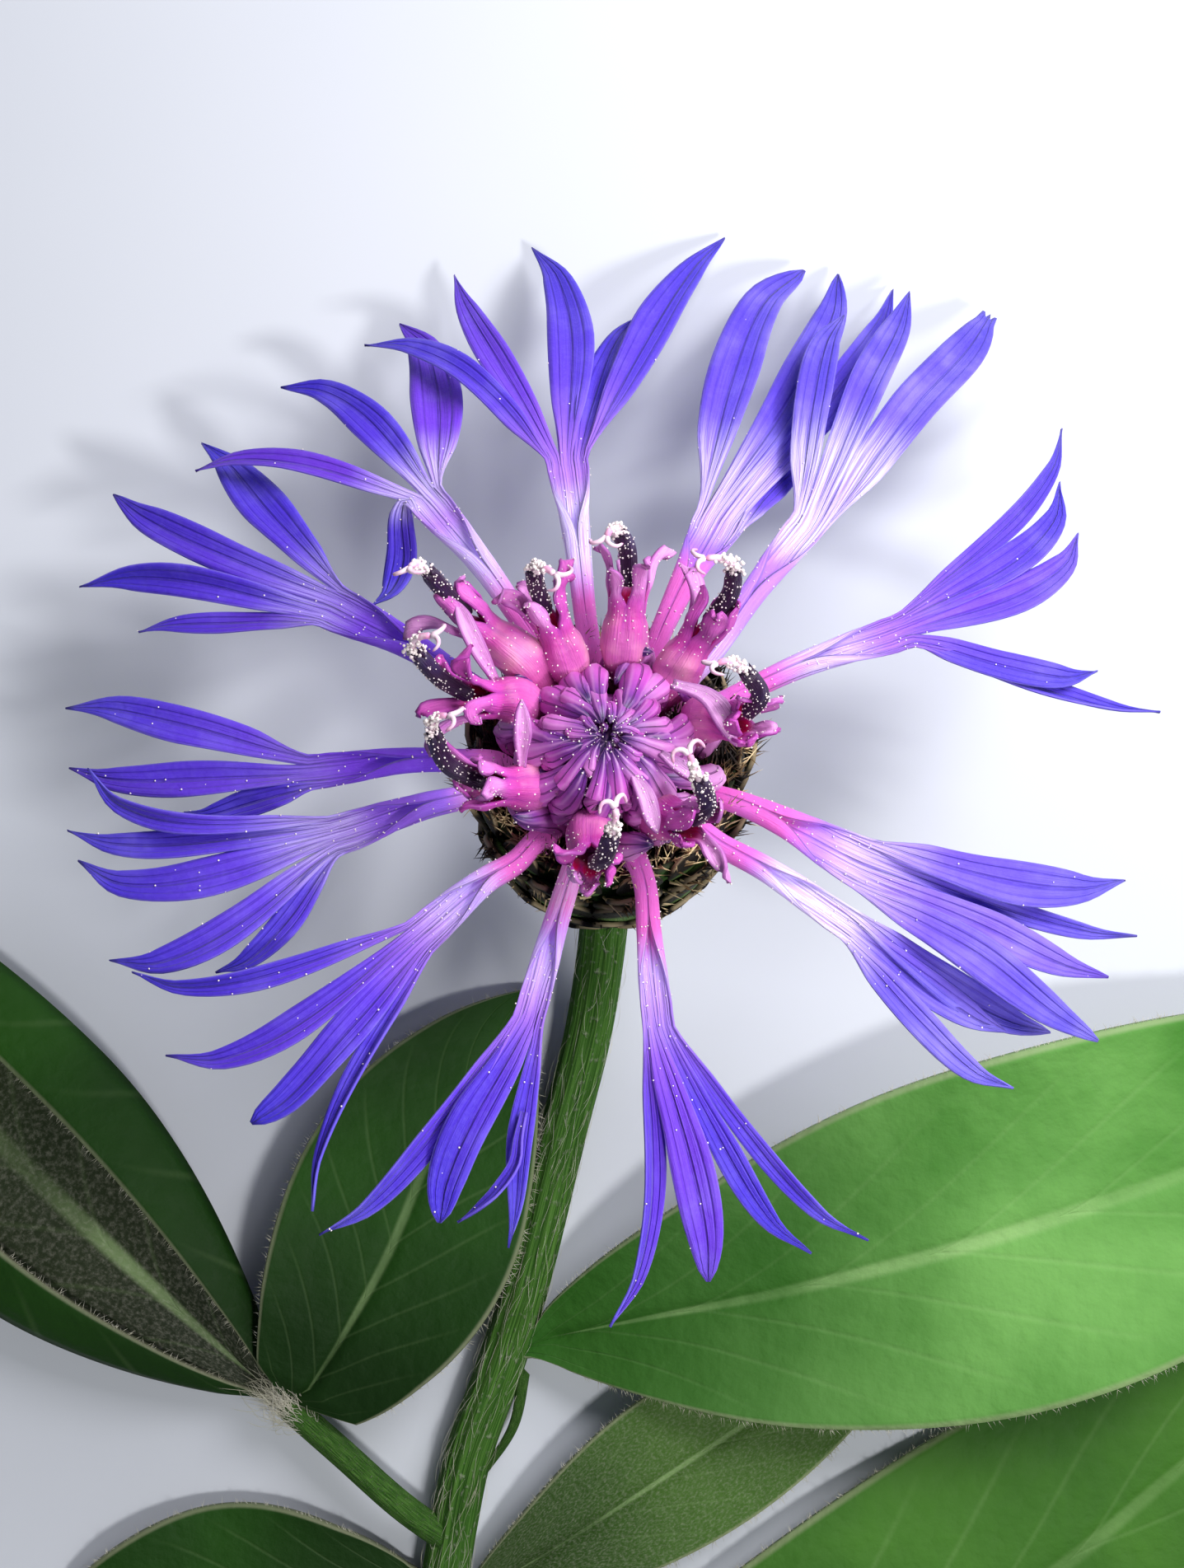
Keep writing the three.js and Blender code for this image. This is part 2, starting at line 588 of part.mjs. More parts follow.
// ribs: points of the midrib. width: half width where widest. belly: where that is. base: share of it
// at the foot. cup: height of the edges over the midrib. wave: height of the wave along the edges.
const LEAVES = [
  {
    name: "leaf_right_upper",
    ribs: [[-3.7, -39.9, 2.4], [3, -38, 4.6], [13, -35.6, 6.2], [27, -31.8, 6.8], [42, -27, 5.6],
      [57, -22, 3.2], [71, -17.6, 0.9]],
    width: 12, belly: 0.42, base: 0.17, cup: 1.2, wave: 0.5, waves: 2.5,
  },
  {
    name: "leaf_right_middle",
    ribs: [[-8.7, -58, 2], [-3, -54.4, 2.6], [6, -48.4, 2.9], [15, -42.6, 2.4], [25, -36.4, 1.2]],
    width: 5.6, belly: 0.45, base: 0.22, cup: 0.5, wave: 0.2, waves: 2,
  },
  {
    name: "leaf_right_lower",
    ribs: [[-11.3, -78.6, 2], [-3, -75.6, 2.8], [8, -70.6, 3], [20, -64.4, 2.4], [32, -56.6, 1.6],
      [42, -48.6, 1], [52, -40.4, 0.8], [60, -32.6, 0.7]],
    width: 13, belly: 0.45, base: 0.14, cup: -0.3, wave: 0.3, waves: 3,
  },
  {
    name: "leaf_left_lower",
    ribs: [[-13.8, -57.8, 1.2], [-18, -58.4, 1.3], [-25, -59.8, 1.5], [-33, -62.4, 1.4], [-43, -67, 0.8]],
    width: 8.4, belly: 0.45, base: 0.18, cup: 0.6, wave: 0.5, waves: 2,
  },
  {
    name: "shoot_leaf_broad",
    ribs: [[-20.8, -43.2, 3.9], [-18.4, -39.4, 4.6], [-15.2, -33.6, 4.6], [-12.3, -26.8, 3.6],
      [-8.8, -20.6, 2.2], [-5, -15.4, 1]],
    width: 8.3, belly: 0.42, base: 0.5, cup: 0.7, wave: 0.4, waves: 1.5,
  },
  {
    name: "shoot_leaf_rolled",
    ribs: [[-25.2, -42.4, 2.4], [-29.4, -38.2, 3.6], [-38, -30, 4.2], [-47, -21.2, 3.6], [-56, -12, 2.2],
      [-66, -1, 0.7]],
    width: 9.5, belly: 0.4, base: 0.2, cup: 2.4, wave: 0.3, waves: 2,
  },
];
const LEAF_COLUMNS = [-1, -0.7, -0.35, -0.08, 0.08, 0.35, 0.7, 1];

function leaf({ ribs, width, belly, base, cup, wave, waves }) {
  const path = smoothPath(ribs.map((point) => vec(...point)));
  const place = (s, u) => {
    const { centre, side, normal } = pathFrame(path, s, AXIS, vec(0, 0, 0));
    const reach = width * lance(s, belly, base);
    const rise = reach / width * (cup * u * u + wave * u * u * Math.sin(2 * Math.PI * waves * s));
    const rib = Math.abs(u) < 0.1 ? MIDRIB_HEIGHT * (1 - 0.7 * s) : 0;
    const middle = centre.clone()
      .addScaledVector(side, -u * reach)
      .addScaledVector(normal, rise - rib / 2);
    return { middle, normal, half: (LEAF_THICKNESS + rib) / 2 };
  };
  return blade(evenly(12), LEAF_COLUMNS, place);
}

// ---- putting the plant together --------------------------------------------------------------------

const plant = new THREE.Group();
plant.position.set(-FOOTPRINT_MIDDLE[0], -FOOTPRINT_MIDDLE[1], 0);

const head = new THREE.Group();
head.position.z = HEAD_HEIGHT;
head.rotation.x = -tilt;
plant.add(head);

RAY_FLORETS.forEach((floret, count) => {
  head.add(piece(`ray_floret_${count + 1}`, rayFloret(floret), FINISHES.ray));
});
DISC_FLORETS.forEach((floret, count) => {
  head.add(piece(`disc_floret_${count + 1}`, discFloret(floret), FINISHES.disc));
  head.add(piece(`anther_tube_${count + 1}`, antherTube(floret), FINISHES.anther));
  head.add(piece(`style_tip_${count + 1}`, styleTip(floret), FINISHES.pollen));
});
head.add(piece("closed_buds", budDome(), FINISHES.bud));
head.add(piece("involucre", involucre(), FINISHES.involucre));

plant.add(piece("stem", stem(), FINISHES.stem));
for (const shape of LEAVES) {
  plant.add(piece(shape.name, leaf(shape), FINISHES.leaf));
}

export default plant;
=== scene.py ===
import json
import math
import random
from bisect import bisect_left

import bmesh
import bpy
from bpy.props import FloatProperty, FloatVectorProperty, IntProperty, PointerProperty
from mathutils import Matrix, Vector
from mathutils.geometry import interpolate_bezier

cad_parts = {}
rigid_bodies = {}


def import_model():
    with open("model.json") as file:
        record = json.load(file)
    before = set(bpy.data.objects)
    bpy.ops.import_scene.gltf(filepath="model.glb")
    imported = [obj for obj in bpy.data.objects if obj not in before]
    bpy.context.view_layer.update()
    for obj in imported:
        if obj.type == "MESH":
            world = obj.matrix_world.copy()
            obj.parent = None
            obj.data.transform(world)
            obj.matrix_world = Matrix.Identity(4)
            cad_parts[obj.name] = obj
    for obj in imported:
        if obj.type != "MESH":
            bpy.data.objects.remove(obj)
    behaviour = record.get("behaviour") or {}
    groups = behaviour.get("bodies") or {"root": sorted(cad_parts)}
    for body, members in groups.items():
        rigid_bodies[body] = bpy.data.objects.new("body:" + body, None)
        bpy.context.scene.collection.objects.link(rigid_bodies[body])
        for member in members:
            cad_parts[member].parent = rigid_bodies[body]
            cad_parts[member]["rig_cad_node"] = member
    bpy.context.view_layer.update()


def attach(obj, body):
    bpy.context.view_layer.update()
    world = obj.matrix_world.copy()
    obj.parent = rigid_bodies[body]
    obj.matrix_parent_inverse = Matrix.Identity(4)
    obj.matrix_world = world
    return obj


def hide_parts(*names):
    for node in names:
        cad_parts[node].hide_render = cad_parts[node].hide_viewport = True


bl_info = {
    "name": "Mountain cornflower",
    "version": (1, 0, 0),
    "blender": (4, 5, 0),
    "location": "View3D > Sidebar > Cornflower",
    "description": "Dresses the solids of a picked cornflower in petals, leaves, hairs and pollen",
    "category": "Add Mesh",
}

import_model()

MM = 0.001
UP = Vector((0, 0, 1))

# The head has its own frame: a bearing in degrees anticlockwise from +X, a reach from its axis and
# a height along it, in millimetres. The rest of the plant is measured round the point under its
# middle.
HEAD_HEIGHT = 24
HEAD_TILT = 20
PLANT_SHIFT = Vector((-2.5, 37.1, 0))
PLANT = Matrix.Scale(MM, 4) @ Matrix.Translation(PLANT_SHIFT)
HEAD_ON_PLANT = (Matrix.Translation((0, 0, HEAD_HEIGHT))
                 @ Matrix.Rotation(math.radians(-HEAD_TILT), 4, "X"))
HEAD = PLANT @ HEAD_ON_PLANT
LEFT = Vector((-1, 0, 0))
FLAT = Vector((0, 0, 0))


# ---- numbers and ways -------------------------------------------------------


def lerp(a, b, share):
    return a + (b - a) * share


def smooth(value, low, high):
    share = min(1, max(0, (value - low) / (high - low)))
    return share * share * (3 - 2 * share)


def steps(value, places):
    """A value that runs smoothly through (place, value) pairs."""
    for (low, before), (high, after) in zip(places, places[1:]):
        if value <= high:
            return lerp(before, after, smooth(value, low, high))
    return places[-1][1]


def turn_to(start, end):
    """The bearing of end, given the shortest way round from start."""
    return start + (end - start + 180) % 360 - 180


def polar(bearing, reach, height=0):
    angle = math.radians(bearing)
    return Vector((reach * math.cos(angle), reach * math.sin(angle), height))


class Way:
    """A smooth way through points, walked by the share of its length, from 0 to 1."""

    FINENESS = 14
    LOOK = 0.01

    def __init__(self, points, before=None, after=None):
        points = [Vector(point) for point in points]
        first = before if before is not None else points[0] * 2 - points[1]
        last = after if after is not None else points[-1] * 2 - points[-2]
        line = [first, *points, last]
        self.places = [points[0]]
        for a, b, c, d in zip(line, line[1:], line[2:], line[3:]):
            third = (c - b).length / 3
            leave = b + (c - a).normalized() * third
            enter = c - (d - b).normalized() * third
            self.places += interpolate_bezier(b, leave, enter, c, self.FINENESS)[1:]
        self.marks = [0]
        for here, there in zip(self.places, self.places[1:]):
            self.marks.append(self.marks[-1] + (there - here).length)
        self.length = self.marks[-1]
        self.stands = {}

    def at(self, share):
        mark = min(1, max(0, share)) * self.length
        after = min(len(self.marks) - 1, max(1, bisect_left(self.marks, mark)))
        span = self.marks[after] - self.marks[after - 1]
        part = (mark - self.marks[after - 1]) / span if span else 0
        return self.places[after - 1].lerp(self.places[after], part)

    def stand(self, share, up=UP, lean=FLAT):
        """Place, and directions along the way, to its right and out of it."""
        asked = share, *up, *lean
        if asked not in self.stands:
            along = (self.at(share + self.LOOK) - self.at(share - self.LOOK)).normalized()
            side = along.cross(up) + lean * 0.3
            side = (side - along * side.dot(along)).normalized()
            self.stands[asked] = self.at(share), along, side, side.cross(along)
        return self.stands[asked]


# ---- making meshes ----------------------------------------------------------


def new_mesh():
    mesh = bmesh.new()
    mesh.loops.layers.uv.verify()
    return mesh


def add_batch(mesh, batch):
    """Adds the batch to the mesh."""
    data = bpy.data.meshes.new("batch")
    batch.to_mesh(data)
    batch.free()
    mesh.from_mesh(data)
    bpy.data.meshes.remove(data)


def strip(mesh, columns, rows, place, mark=None):
    """A sheet whose corners go to place(s, u): s runs 0 to 1 along it and u -1 to 1 across."""
    made = bmesh.ops.create_grid(mesh, x_segments=columns, y_segments=rows, size=1)["verts"]
    marks = mesh.loops.layers.uv.active
    spots = {corner: ((corner.co.y + 1) / 2, corner.co.x) for corner in made}
    for face in {face for corner in made for face in corner.link_faces}:
        for loop in face.loops:
            s, u = spots[loop.vert]
            loop[marks].uv = mark(s, u) if mark else ((u + 1) / 2, s)
    for corner, (s, u) in spots.items():
        corner.co = place(s, u)
    return made


def rod(mesh, way, radius, sides, rows, lean=FLAT, ribs=0, depth=0.0, shift=0, capped=True):
    """A round rod along a way, with ribs along it if there are any."""

    def place(s, u):
        centre, _, side, normal = way.stand(s, lean=lean)
        if capped and s in (0, 1):
            return centre
        angle = -math.pi * u
        reach = radius(s) * (1 - depth * (0.5 - 0.5 * math.cos(ribs * angle)))
        return centre + (side * math.cos(angle) + normal * math.sin(angle)) * reach

    made = strip(mesh, sides, rows, place, lambda s, u: ((u + 1) / 2 + shift, s))
    bmesh.ops.remove_doubles(mesh, verts=made, dist=1e-4)


def turned(mesh, outline, sides, rows, shift=lambda height: FLAT):
    """What the outline sweeps as it turns round the axis. shift moves a point by its height."""

    def place(s, u):
        spot = outline.at(s)
        return polar(180 * u, 0 if s in (0, 1) else spot.x, spot.z) + shift(spot.z)

    made = strip(mesh, sides, rows, place)
    bmesh.ops.remove_doubles(mesh, verts=made, dist=1e-3)


def spike(mesh, root, way, radius, sides=3):
    """A thin hair or tooth from root, as long as the vector way."""
    turn = way.to_track_quat("Z", "Y").to_matrix().to_4x4()
    middle = Matrix.Translation(root + way * 0.5) @ turn
    bmesh.ops.create_cone(mesh, cap_ends=True, cap_tris=True, segments=sides, radius1=radius,
                          radius2=0, depth=way.length, matrix=middle)


def strand(mesh, points, radius):
    """A long bent hair of three sides, fine at both ends."""
    way = Way(points)
    rod(mesh, way, lambda s: radius * math.sin(math.pi * lerp(0.02, 0.98, s)), 3, 8, capped=False)


def mark_faces(mesh, first, slot):
    """Gives the faces from the first one on the material in the slot."""
    mesh.faces.ensure_lookup_table()
    for face in mesh.faces[first:]:
        face.material_index = slot


def add_object(name, data):
    thing = bpy.data.objects.new(name, data)
    bpy.context.scene.collection.objects.link(thing)
    return thing


def mesh_object(name, mesh):
    """Makes the mesh an object, and ends it."""
    data = bpy.data.meshes.new(name)
    mesh.to_mesh(data)
    mesh.free()
    return add_object(name, data)


def finish_piece(mesh, name, place, finishes, replaces=(), thickness=0.0, offset=0.0,
                 back=0, closed=True):
    """Makes the mesh a piece of the flower, which rides on it and stands for its solids."""
    mesh.transform(place)
    bmesh.ops.remove_doubles(mesh, verts=mesh.verts, dist=1e-7)
    if closed:
        bmesh.ops.recalc_face_normals(mesh, faces=mesh.faces)
    for face in mesh.faces:
        face.smooth = True
    piece = mesh_object(name, mesh)
    for finish in finishes:
        piece.data.materials.append(finish)
    if thickness:
        wall = piece.modifiers.new("wall", "SOLIDIFY")
        wall.thickness = thickness
        wall.offset = offset
        wall.material_offset = back
        wall.material_offset_rim = 0
    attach(piece, "root")
    if replaces:
        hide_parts(*replaces)
    return piece


# ---- making finishes --------------------------------------------------------


def paint(code):
    """A colour written as #rrggbb, as the light that it stands for."""
    parts = [int(code[place:place + 2], 16) / 255 for place in (1, 3, 5)]
    return tuple(part / 12.92 if part <= 0.04045 else ((part + 0.055) / 1.055) ** 2.4
                 for part in parts)


class Amount:
    """A number that changes over a surface. Sums on it add the nodes that work them out."""

    def __init__(self, finish, socket):
        self.finish = finish
        self.socket = socket

    def sum(self, operation, *values):
        sockets = dict(enumerate(values))
        node = self.finish.node("ShaderNodeMath", {"operation": operation}, sockets)
        return Amount(self.finish, node.outputs[0])

    def __add__(self, other):
        return self.sum("ADD", self, other)

    def __sub__(self, other):
        return self.sum("SUBTRACT", self, other)

    def __mul__(self, other):
        return self.sum("MULTIPLY", self, other)

    def __truediv__(self, other):
        return self.sum("DIVIDE", self, other)

    def __pow__(self, other):
        return self.sum("POWER", self, other)

    def __rsub__(self, other):
        return self.sum("SUBTRACT", other, self)

    def __rtruediv__(self, other):
        return self.sum("DIVIDE", other, self)

    def __rpow__(self, other):
        return self.sum("POWER", other, self)

    __radd__ = __add__
    __rmul__ = __mul__

    def size(self):
        return self.sum("ABSOLUTE", self)

    def part(self):
        return self.sum("FRACT", self)

    def whole(self):
        return self.sum("FLOOR", self)

    def step(self, low, high):
        """0 below low, 1 above high, smooth between; the other way round if high is the lower."""
        rising = low < high
        node = self.finish.node("ShaderNodeMapRange", {"interpolation_type": "SMOOTHSTEP"}, {
            "Value": self, "From Min": min(low, high), "From Max": max(low, high),
            "To Min": float(not rising), "To Max": float(rising)})
        return Amount(self.finish, node.outputs["Result"])


class Finish:
    """A material, with its nodes and the colour that it has so far."""

    def __init__(self, name, colour=None):
        self.material = bpy.data.materials.new(name)
        self.material.use_nodes = True
        self.tree = self.material.node_tree
        self.surface = self.tree.nodes["Principled BSDF"]
        self.colour = colour

    def node(self, kind, settings=None, sockets=None):
        node = self.tree.nodes.new(kind)
        for name, value in (settings or {}).items():
            if name == "stops":
                elements = node.color_ramp.elements
                while len(elements) < len(value):
                    elements.new(0.5)
                for element, (position, colour) in zip(elements, value):
                    element.position = position
                    element.color = (*(paint(colour) if isinstance(colour, str) else colour), 1)
            else:
                setattr(node, name, value)
        for name, value in (sockets or {}).items():
            self.feed(node.inputs[name], value)
        return node

    def feed(self, socket, value):
        """Links a socket to what it depends on, or sets it to a number, a vector or a colour."""
        if isinstance(value, Amount):
            value = value.socket
        if isinstance(value, bpy.types.NodeSocket):
            self.tree.links.new(value, socket)
        elif socket.type == "RGBA":
            socket.default_value = (*(paint(value) if isinstance(value, str) else value), 1)
        else:
            socket.default_value = value

    def marks(self):
        """Across and along, as the piece's own map gives them."""
        node = self.node("ShaderNodeUVMap")
        parts = self.node("ShaderNodeSeparateXYZ", None, {0: node.outputs[0]})
        return Amount(self, parts.outputs[0]), Amount(self, parts.outputs[1])

    def place(self):
        return self.node("ShaderNodeTexCoord").outputs["Object"]

    def noise(self, scale, detail, roughness=0.5, over=None):
        """Noise that runs through the piece, or over a pair of amounts."""
        vector = self.place()
        if over:
            vector = self.node("ShaderNodeCombineXYZ", None, dict(enumerate(over))).outputs[0]
        node = self.node("ShaderNodeTexNoise", None, {
            "Vector": vector, "Scale": scale, "Detail": detail, "Roughness": roughness})
        return Amount(self, node.outputs[0])

    def chance(self, value):
        node = self.node("ShaderNodeTexWhiteNoise", {"noise_dimensions": "1D"}, {"W": value})
        return Amount(self, node.outputs["Value"])

    def ramp(self, value, stops):
        node = self.node("ShaderNodeValToRGB", {"stops": stops}, {"Fac": value})
        return node.outputs["Color"]

    def mix(self, share, first, second):
        settings = {"data_type": "RGBA", "blend_type": "MIX", "clamp_factor": True}
        node = self.node("ShaderNodeMix", settings, {0: share, 6: first, 7: second})
        return node.outputs[2]

    def cover(self, share, colour):
        """Lays a colour over the one so far."""
        self.colour = self.mix(share, self.colour, colour)

    def relief(self, height, distance):
        node = self.node("ShaderNodeBump", None, {"Height": height, "Distance": distance})
        return node.outputs["Normal"]

    def set(self, **sockets):
        """Ends the material: its colour so far and the given sockets of its surface."""
        for name, value in {"Base_Color": self.colour, **sockets}.items():
            self.feed(self.surface.inputs[name.replace("_", " ")], value)
        return self.material


def sizes():
    return bpy.context.scene.cornflower_sizes


def colours():
    return bpy.context.scene.cornflower_colours


def metres(name, description, default, least):
    return FloatProperty(name=name, description=description, default=default, min=least,
                         unit="LENGTH")


def tint(name, description, code):
    return FloatVectorProperty(name=name, description=description, size=3, subtype="COLOR", min=0,
                               max=1, default=paint(code))


def tally(kind, name, description, default):
    return kind(name=name, description=description, default=default, min=0)


class CornflowerSizes(bpy.types.PropertyGroup):
    petal_thickness: metres(
        "Petal thickness", "Thickness of the walls of the ray florets", 0.00014, 0.00005)
    disc_wall: metres(
        "Disc floret wall", "Thickness of the walls of the disc florets", 0.0002, 0.00005)
    leaf_thickness: metres("Leaf thickness", "Thickness of the leaves", 0.0005, 0.0001)
    scale_thickness: metres(
        "Scale thickness", "Thickness of the scales round the head", 0.00028, 0.0001)
    grain: metres("Pollen grain", "Radius of a grain of pollen", 0.000055, 0.00002)
    grains: tally(
        IntProperty, "Pollen grains", "How many grains lie scattered over the head", 6200)
    leaf_hairs: tally(
        FloatProperty, "Hairs on the leaves", "Hairs on each millimetre of a leaf's edge", 5)
    stem_hairs: tally(
        IntProperty, "Hairs on the stem", "How many long hairs lie on the stem", 700)
    bristles: tally(
        IntProperty, "Bristles", "How many bristles stand between the florets", 1400)


class CornflowerColours(bpy.types.PropertyGroup):
    ray_tube: tint("Ray tube", "Ray florets at the root", "#d45cba")
    ray_throat: tint("Ray throat", "Ray florets where they widen", "#be84f4")
    ray_pale: tint("Ray pale patches", "Thin places of the ray florets", "#e6dcff")
    ray_lobe: tint("Ray lobes", "Ray florets half way along their lobes", "#6036d8")
    ray_tip: tint("Ray tips", "Ray florets at the tips", "#3627c2")
    ray_deep: tint("Ray deep violet", "Darker tubes of the ray florets", "#6630cc")
    ray_rosy: tint("Ray red violet", "Lobes with more red in them", "#8a3ed8")
    # Besides the light edges and specks, this colour is laid on the lobes as painted light and
    # glow.
    ray_light: tint("Ray light", "Light edges and specks of the ray florets", "#a598ff")
    ray_vein: tint("Ray veins", "Veins of the ray florets", "#4320b4")
    disc: tint("Disc florets", "Open florets of the disc", "#ce56ba")
    disc_pale: tint("Disc lobes", "Pale lobes of the open disc florets", "#efb0ee")
    disc_throat: tint("Disc throats", "Inside of the open disc florets", "#c80a50")
    bud: tint("Buds", "Closed buds in the middle", "#bc4ab8")
    bud_pale: tint("Bud pale", "Pale ridges of the closed buds", "#e9a6e4")
    bud_tip: tint("Bud tips", "Where the closed buds meet", "#33105c")
    anther: tint("Anthers", "Anther tubes", "#2a0a34")
    pollen: tint("Pollen", "Pollen", "#f6ecea")
    stigma: tint("Stigmas", "Ends of the styles", "#e49ac4")
    scale: tint("Scales", "Middle of the scales round the head", "#4d7a32")
    scale_edge: tint("Scale edges", "Dark edges of the scales", "#1c130d")
    fringe: tint("Fringes", "Fringes of the scales", "#dcc79a")
    stem: tint("Stem", "Stem", "#26500f")
    leaf: tint("Leaf", "Upper side of the leaves", "#2a6a12")
    leaf_light: tint("Leaf light", "Lighter places of the leaves", "#70a854")
    leaf_back: tint("Leaf underside", "Underside of the leaves", "#587a38")
    hair: tint("Hairs", "Hairs on the leaves and the stem", "#dbd8c8")
    floor: tint("Floor", "Surface that the flower lies on", "#d2d6df")


# ---- corollas ---------------------------------------------------------------


class Lobe:
    """A free lobe of a corolla: its way, half width, how deep its fold is and how far it turns."""

    def __init__(self, way, half, fold, twist, phase, up=UP, blunt=0.0, ragged=0.0):
        self.way = way
        self.half = half
        self.fold = fold
        self.twist = twist
        self.phase = phase
        self.up = up
        self.blunt = blunt
        self.ragged = ragged

    def width(self, s, u):
        """Half width at s, with an edge that runs in and out a little, not alike on both sides."""
        rise = lerp(0.45, 1, smooth(s, 0, 0.6))
        past = max(0, (s - 0.52) / 0.48)
        pointed = max(0.02, 1 - past ** 2.1) ** 0.9 * (1 - 0.35 * smooth(past, 0.55, 1))
        rounded = max(0.25 if self.ragged else 0.02, 1 - past ** 4.5) ** 0.55
        wave = 9 * s + (2.4 + self.phase * 1.7 if u > 0 else self.phase * 2.9)
        return self.half * rise * lerp(pointed, rounded, self.blunt) * (1 + 0.07 * math.sin(wave))


def corolla(mesh, tube, half_width, depth, opening, lobes, columns, tube_rows, lobe_rows, lean,
            first, furrow):
    """A tube that opens into lobes, which are given from the left to the right, seen along it.

    half_width, depth, opening (in degrees) and furrow are worked out from the share of its length.
    lobes hold what makes each lobe. first is the place of the first one on the map.
    """
    count = len(lobes)

    def wall(s, share):
        centre, _, side, normal = tube.stand(s, lean=lean)
        angle = math.radians(opening(s)) * (share - 0.5)
        dent = furrow(s) * (0.5 + 0.5 * math.cos(2 * math.pi * share * count))
        aside = side * (half_width(s) - dent * 0.6) * math.sin(angle)
        return centre + aside - normal * (depth(s) - dent) * math.cos(angle)

    strip(mesh, columns * count, tube_rows, lambda s, u: wall(s, (u + 1) / 2),
          lambda s, u: (first + (u + 1) / 2 * count, s / 2))
    for number, make in enumerate(lobes):
        middle = wall(1, (number + 0.5) / count)
        flow = (middle - wall(0.96, (number + 0.5) / count)).normalized()
        lobe = make(middle, tube.stand(1, lean=lean), flow)

        def place(s, u):
            centre, along, side, normal = lobe.way.stand(s, lobe.up)
            turn = Matrix.Rotation(math.radians(lobe.twist) * smooth(s, 0, 0.8), 3, along)
            taken = smooth(s, 0, 0.3)
            root = (wall(1, (number + (u + 1) / 2) / count) - middle) * (1 + s)
            width = lobe.width(s, u)
            fold = lobe.fold * (abs(u) ** 1.3 - 0.4) + 0.06 * math.cos(3 * math.pi * u)
            ripple = 0.05 * math.sin(12 * s + 2 * u + lobe.phase)
            own = turn @ (side * u * width + normal * (fold * width + ripple))
            own += along * lobe.ragged * smooth(s, 0.86, 1) * math.cos(7.5 * u)
            return centre + root * (1 - taken) + own * taken

        strip(mesh, columns, lobe_rows, place,
              lambda s, u: (first + number + (u + 1) / 2, 0.5 + s / 2))


def add_strap(mesh, lobe, first, start):
    """A lobe on its own. first and start say where it begins on the map."""

    def place(s, u):
        centre, along, side, normal = lobe.way.stand(s, lobe.up)
        turn = Matrix.Rotation(math.radians(lobe.twist) * s, 3, along)
        width = lobe.width(s, u)
        return centre + turn @ (side * u + normal * lobe.fold * (abs(u) ** 1.3 - 0.4)) * width

    strip(mesh, 6, 18, place, lambda s, u: (first + (u + 1) / 2, start + s * (1 - start)))


# ---- ray florets ------------------------------------------------------------

RAY_ROOT_REACH = 6.1
CUP_REACH = 7.3
RAY_LEVEL = 3.3
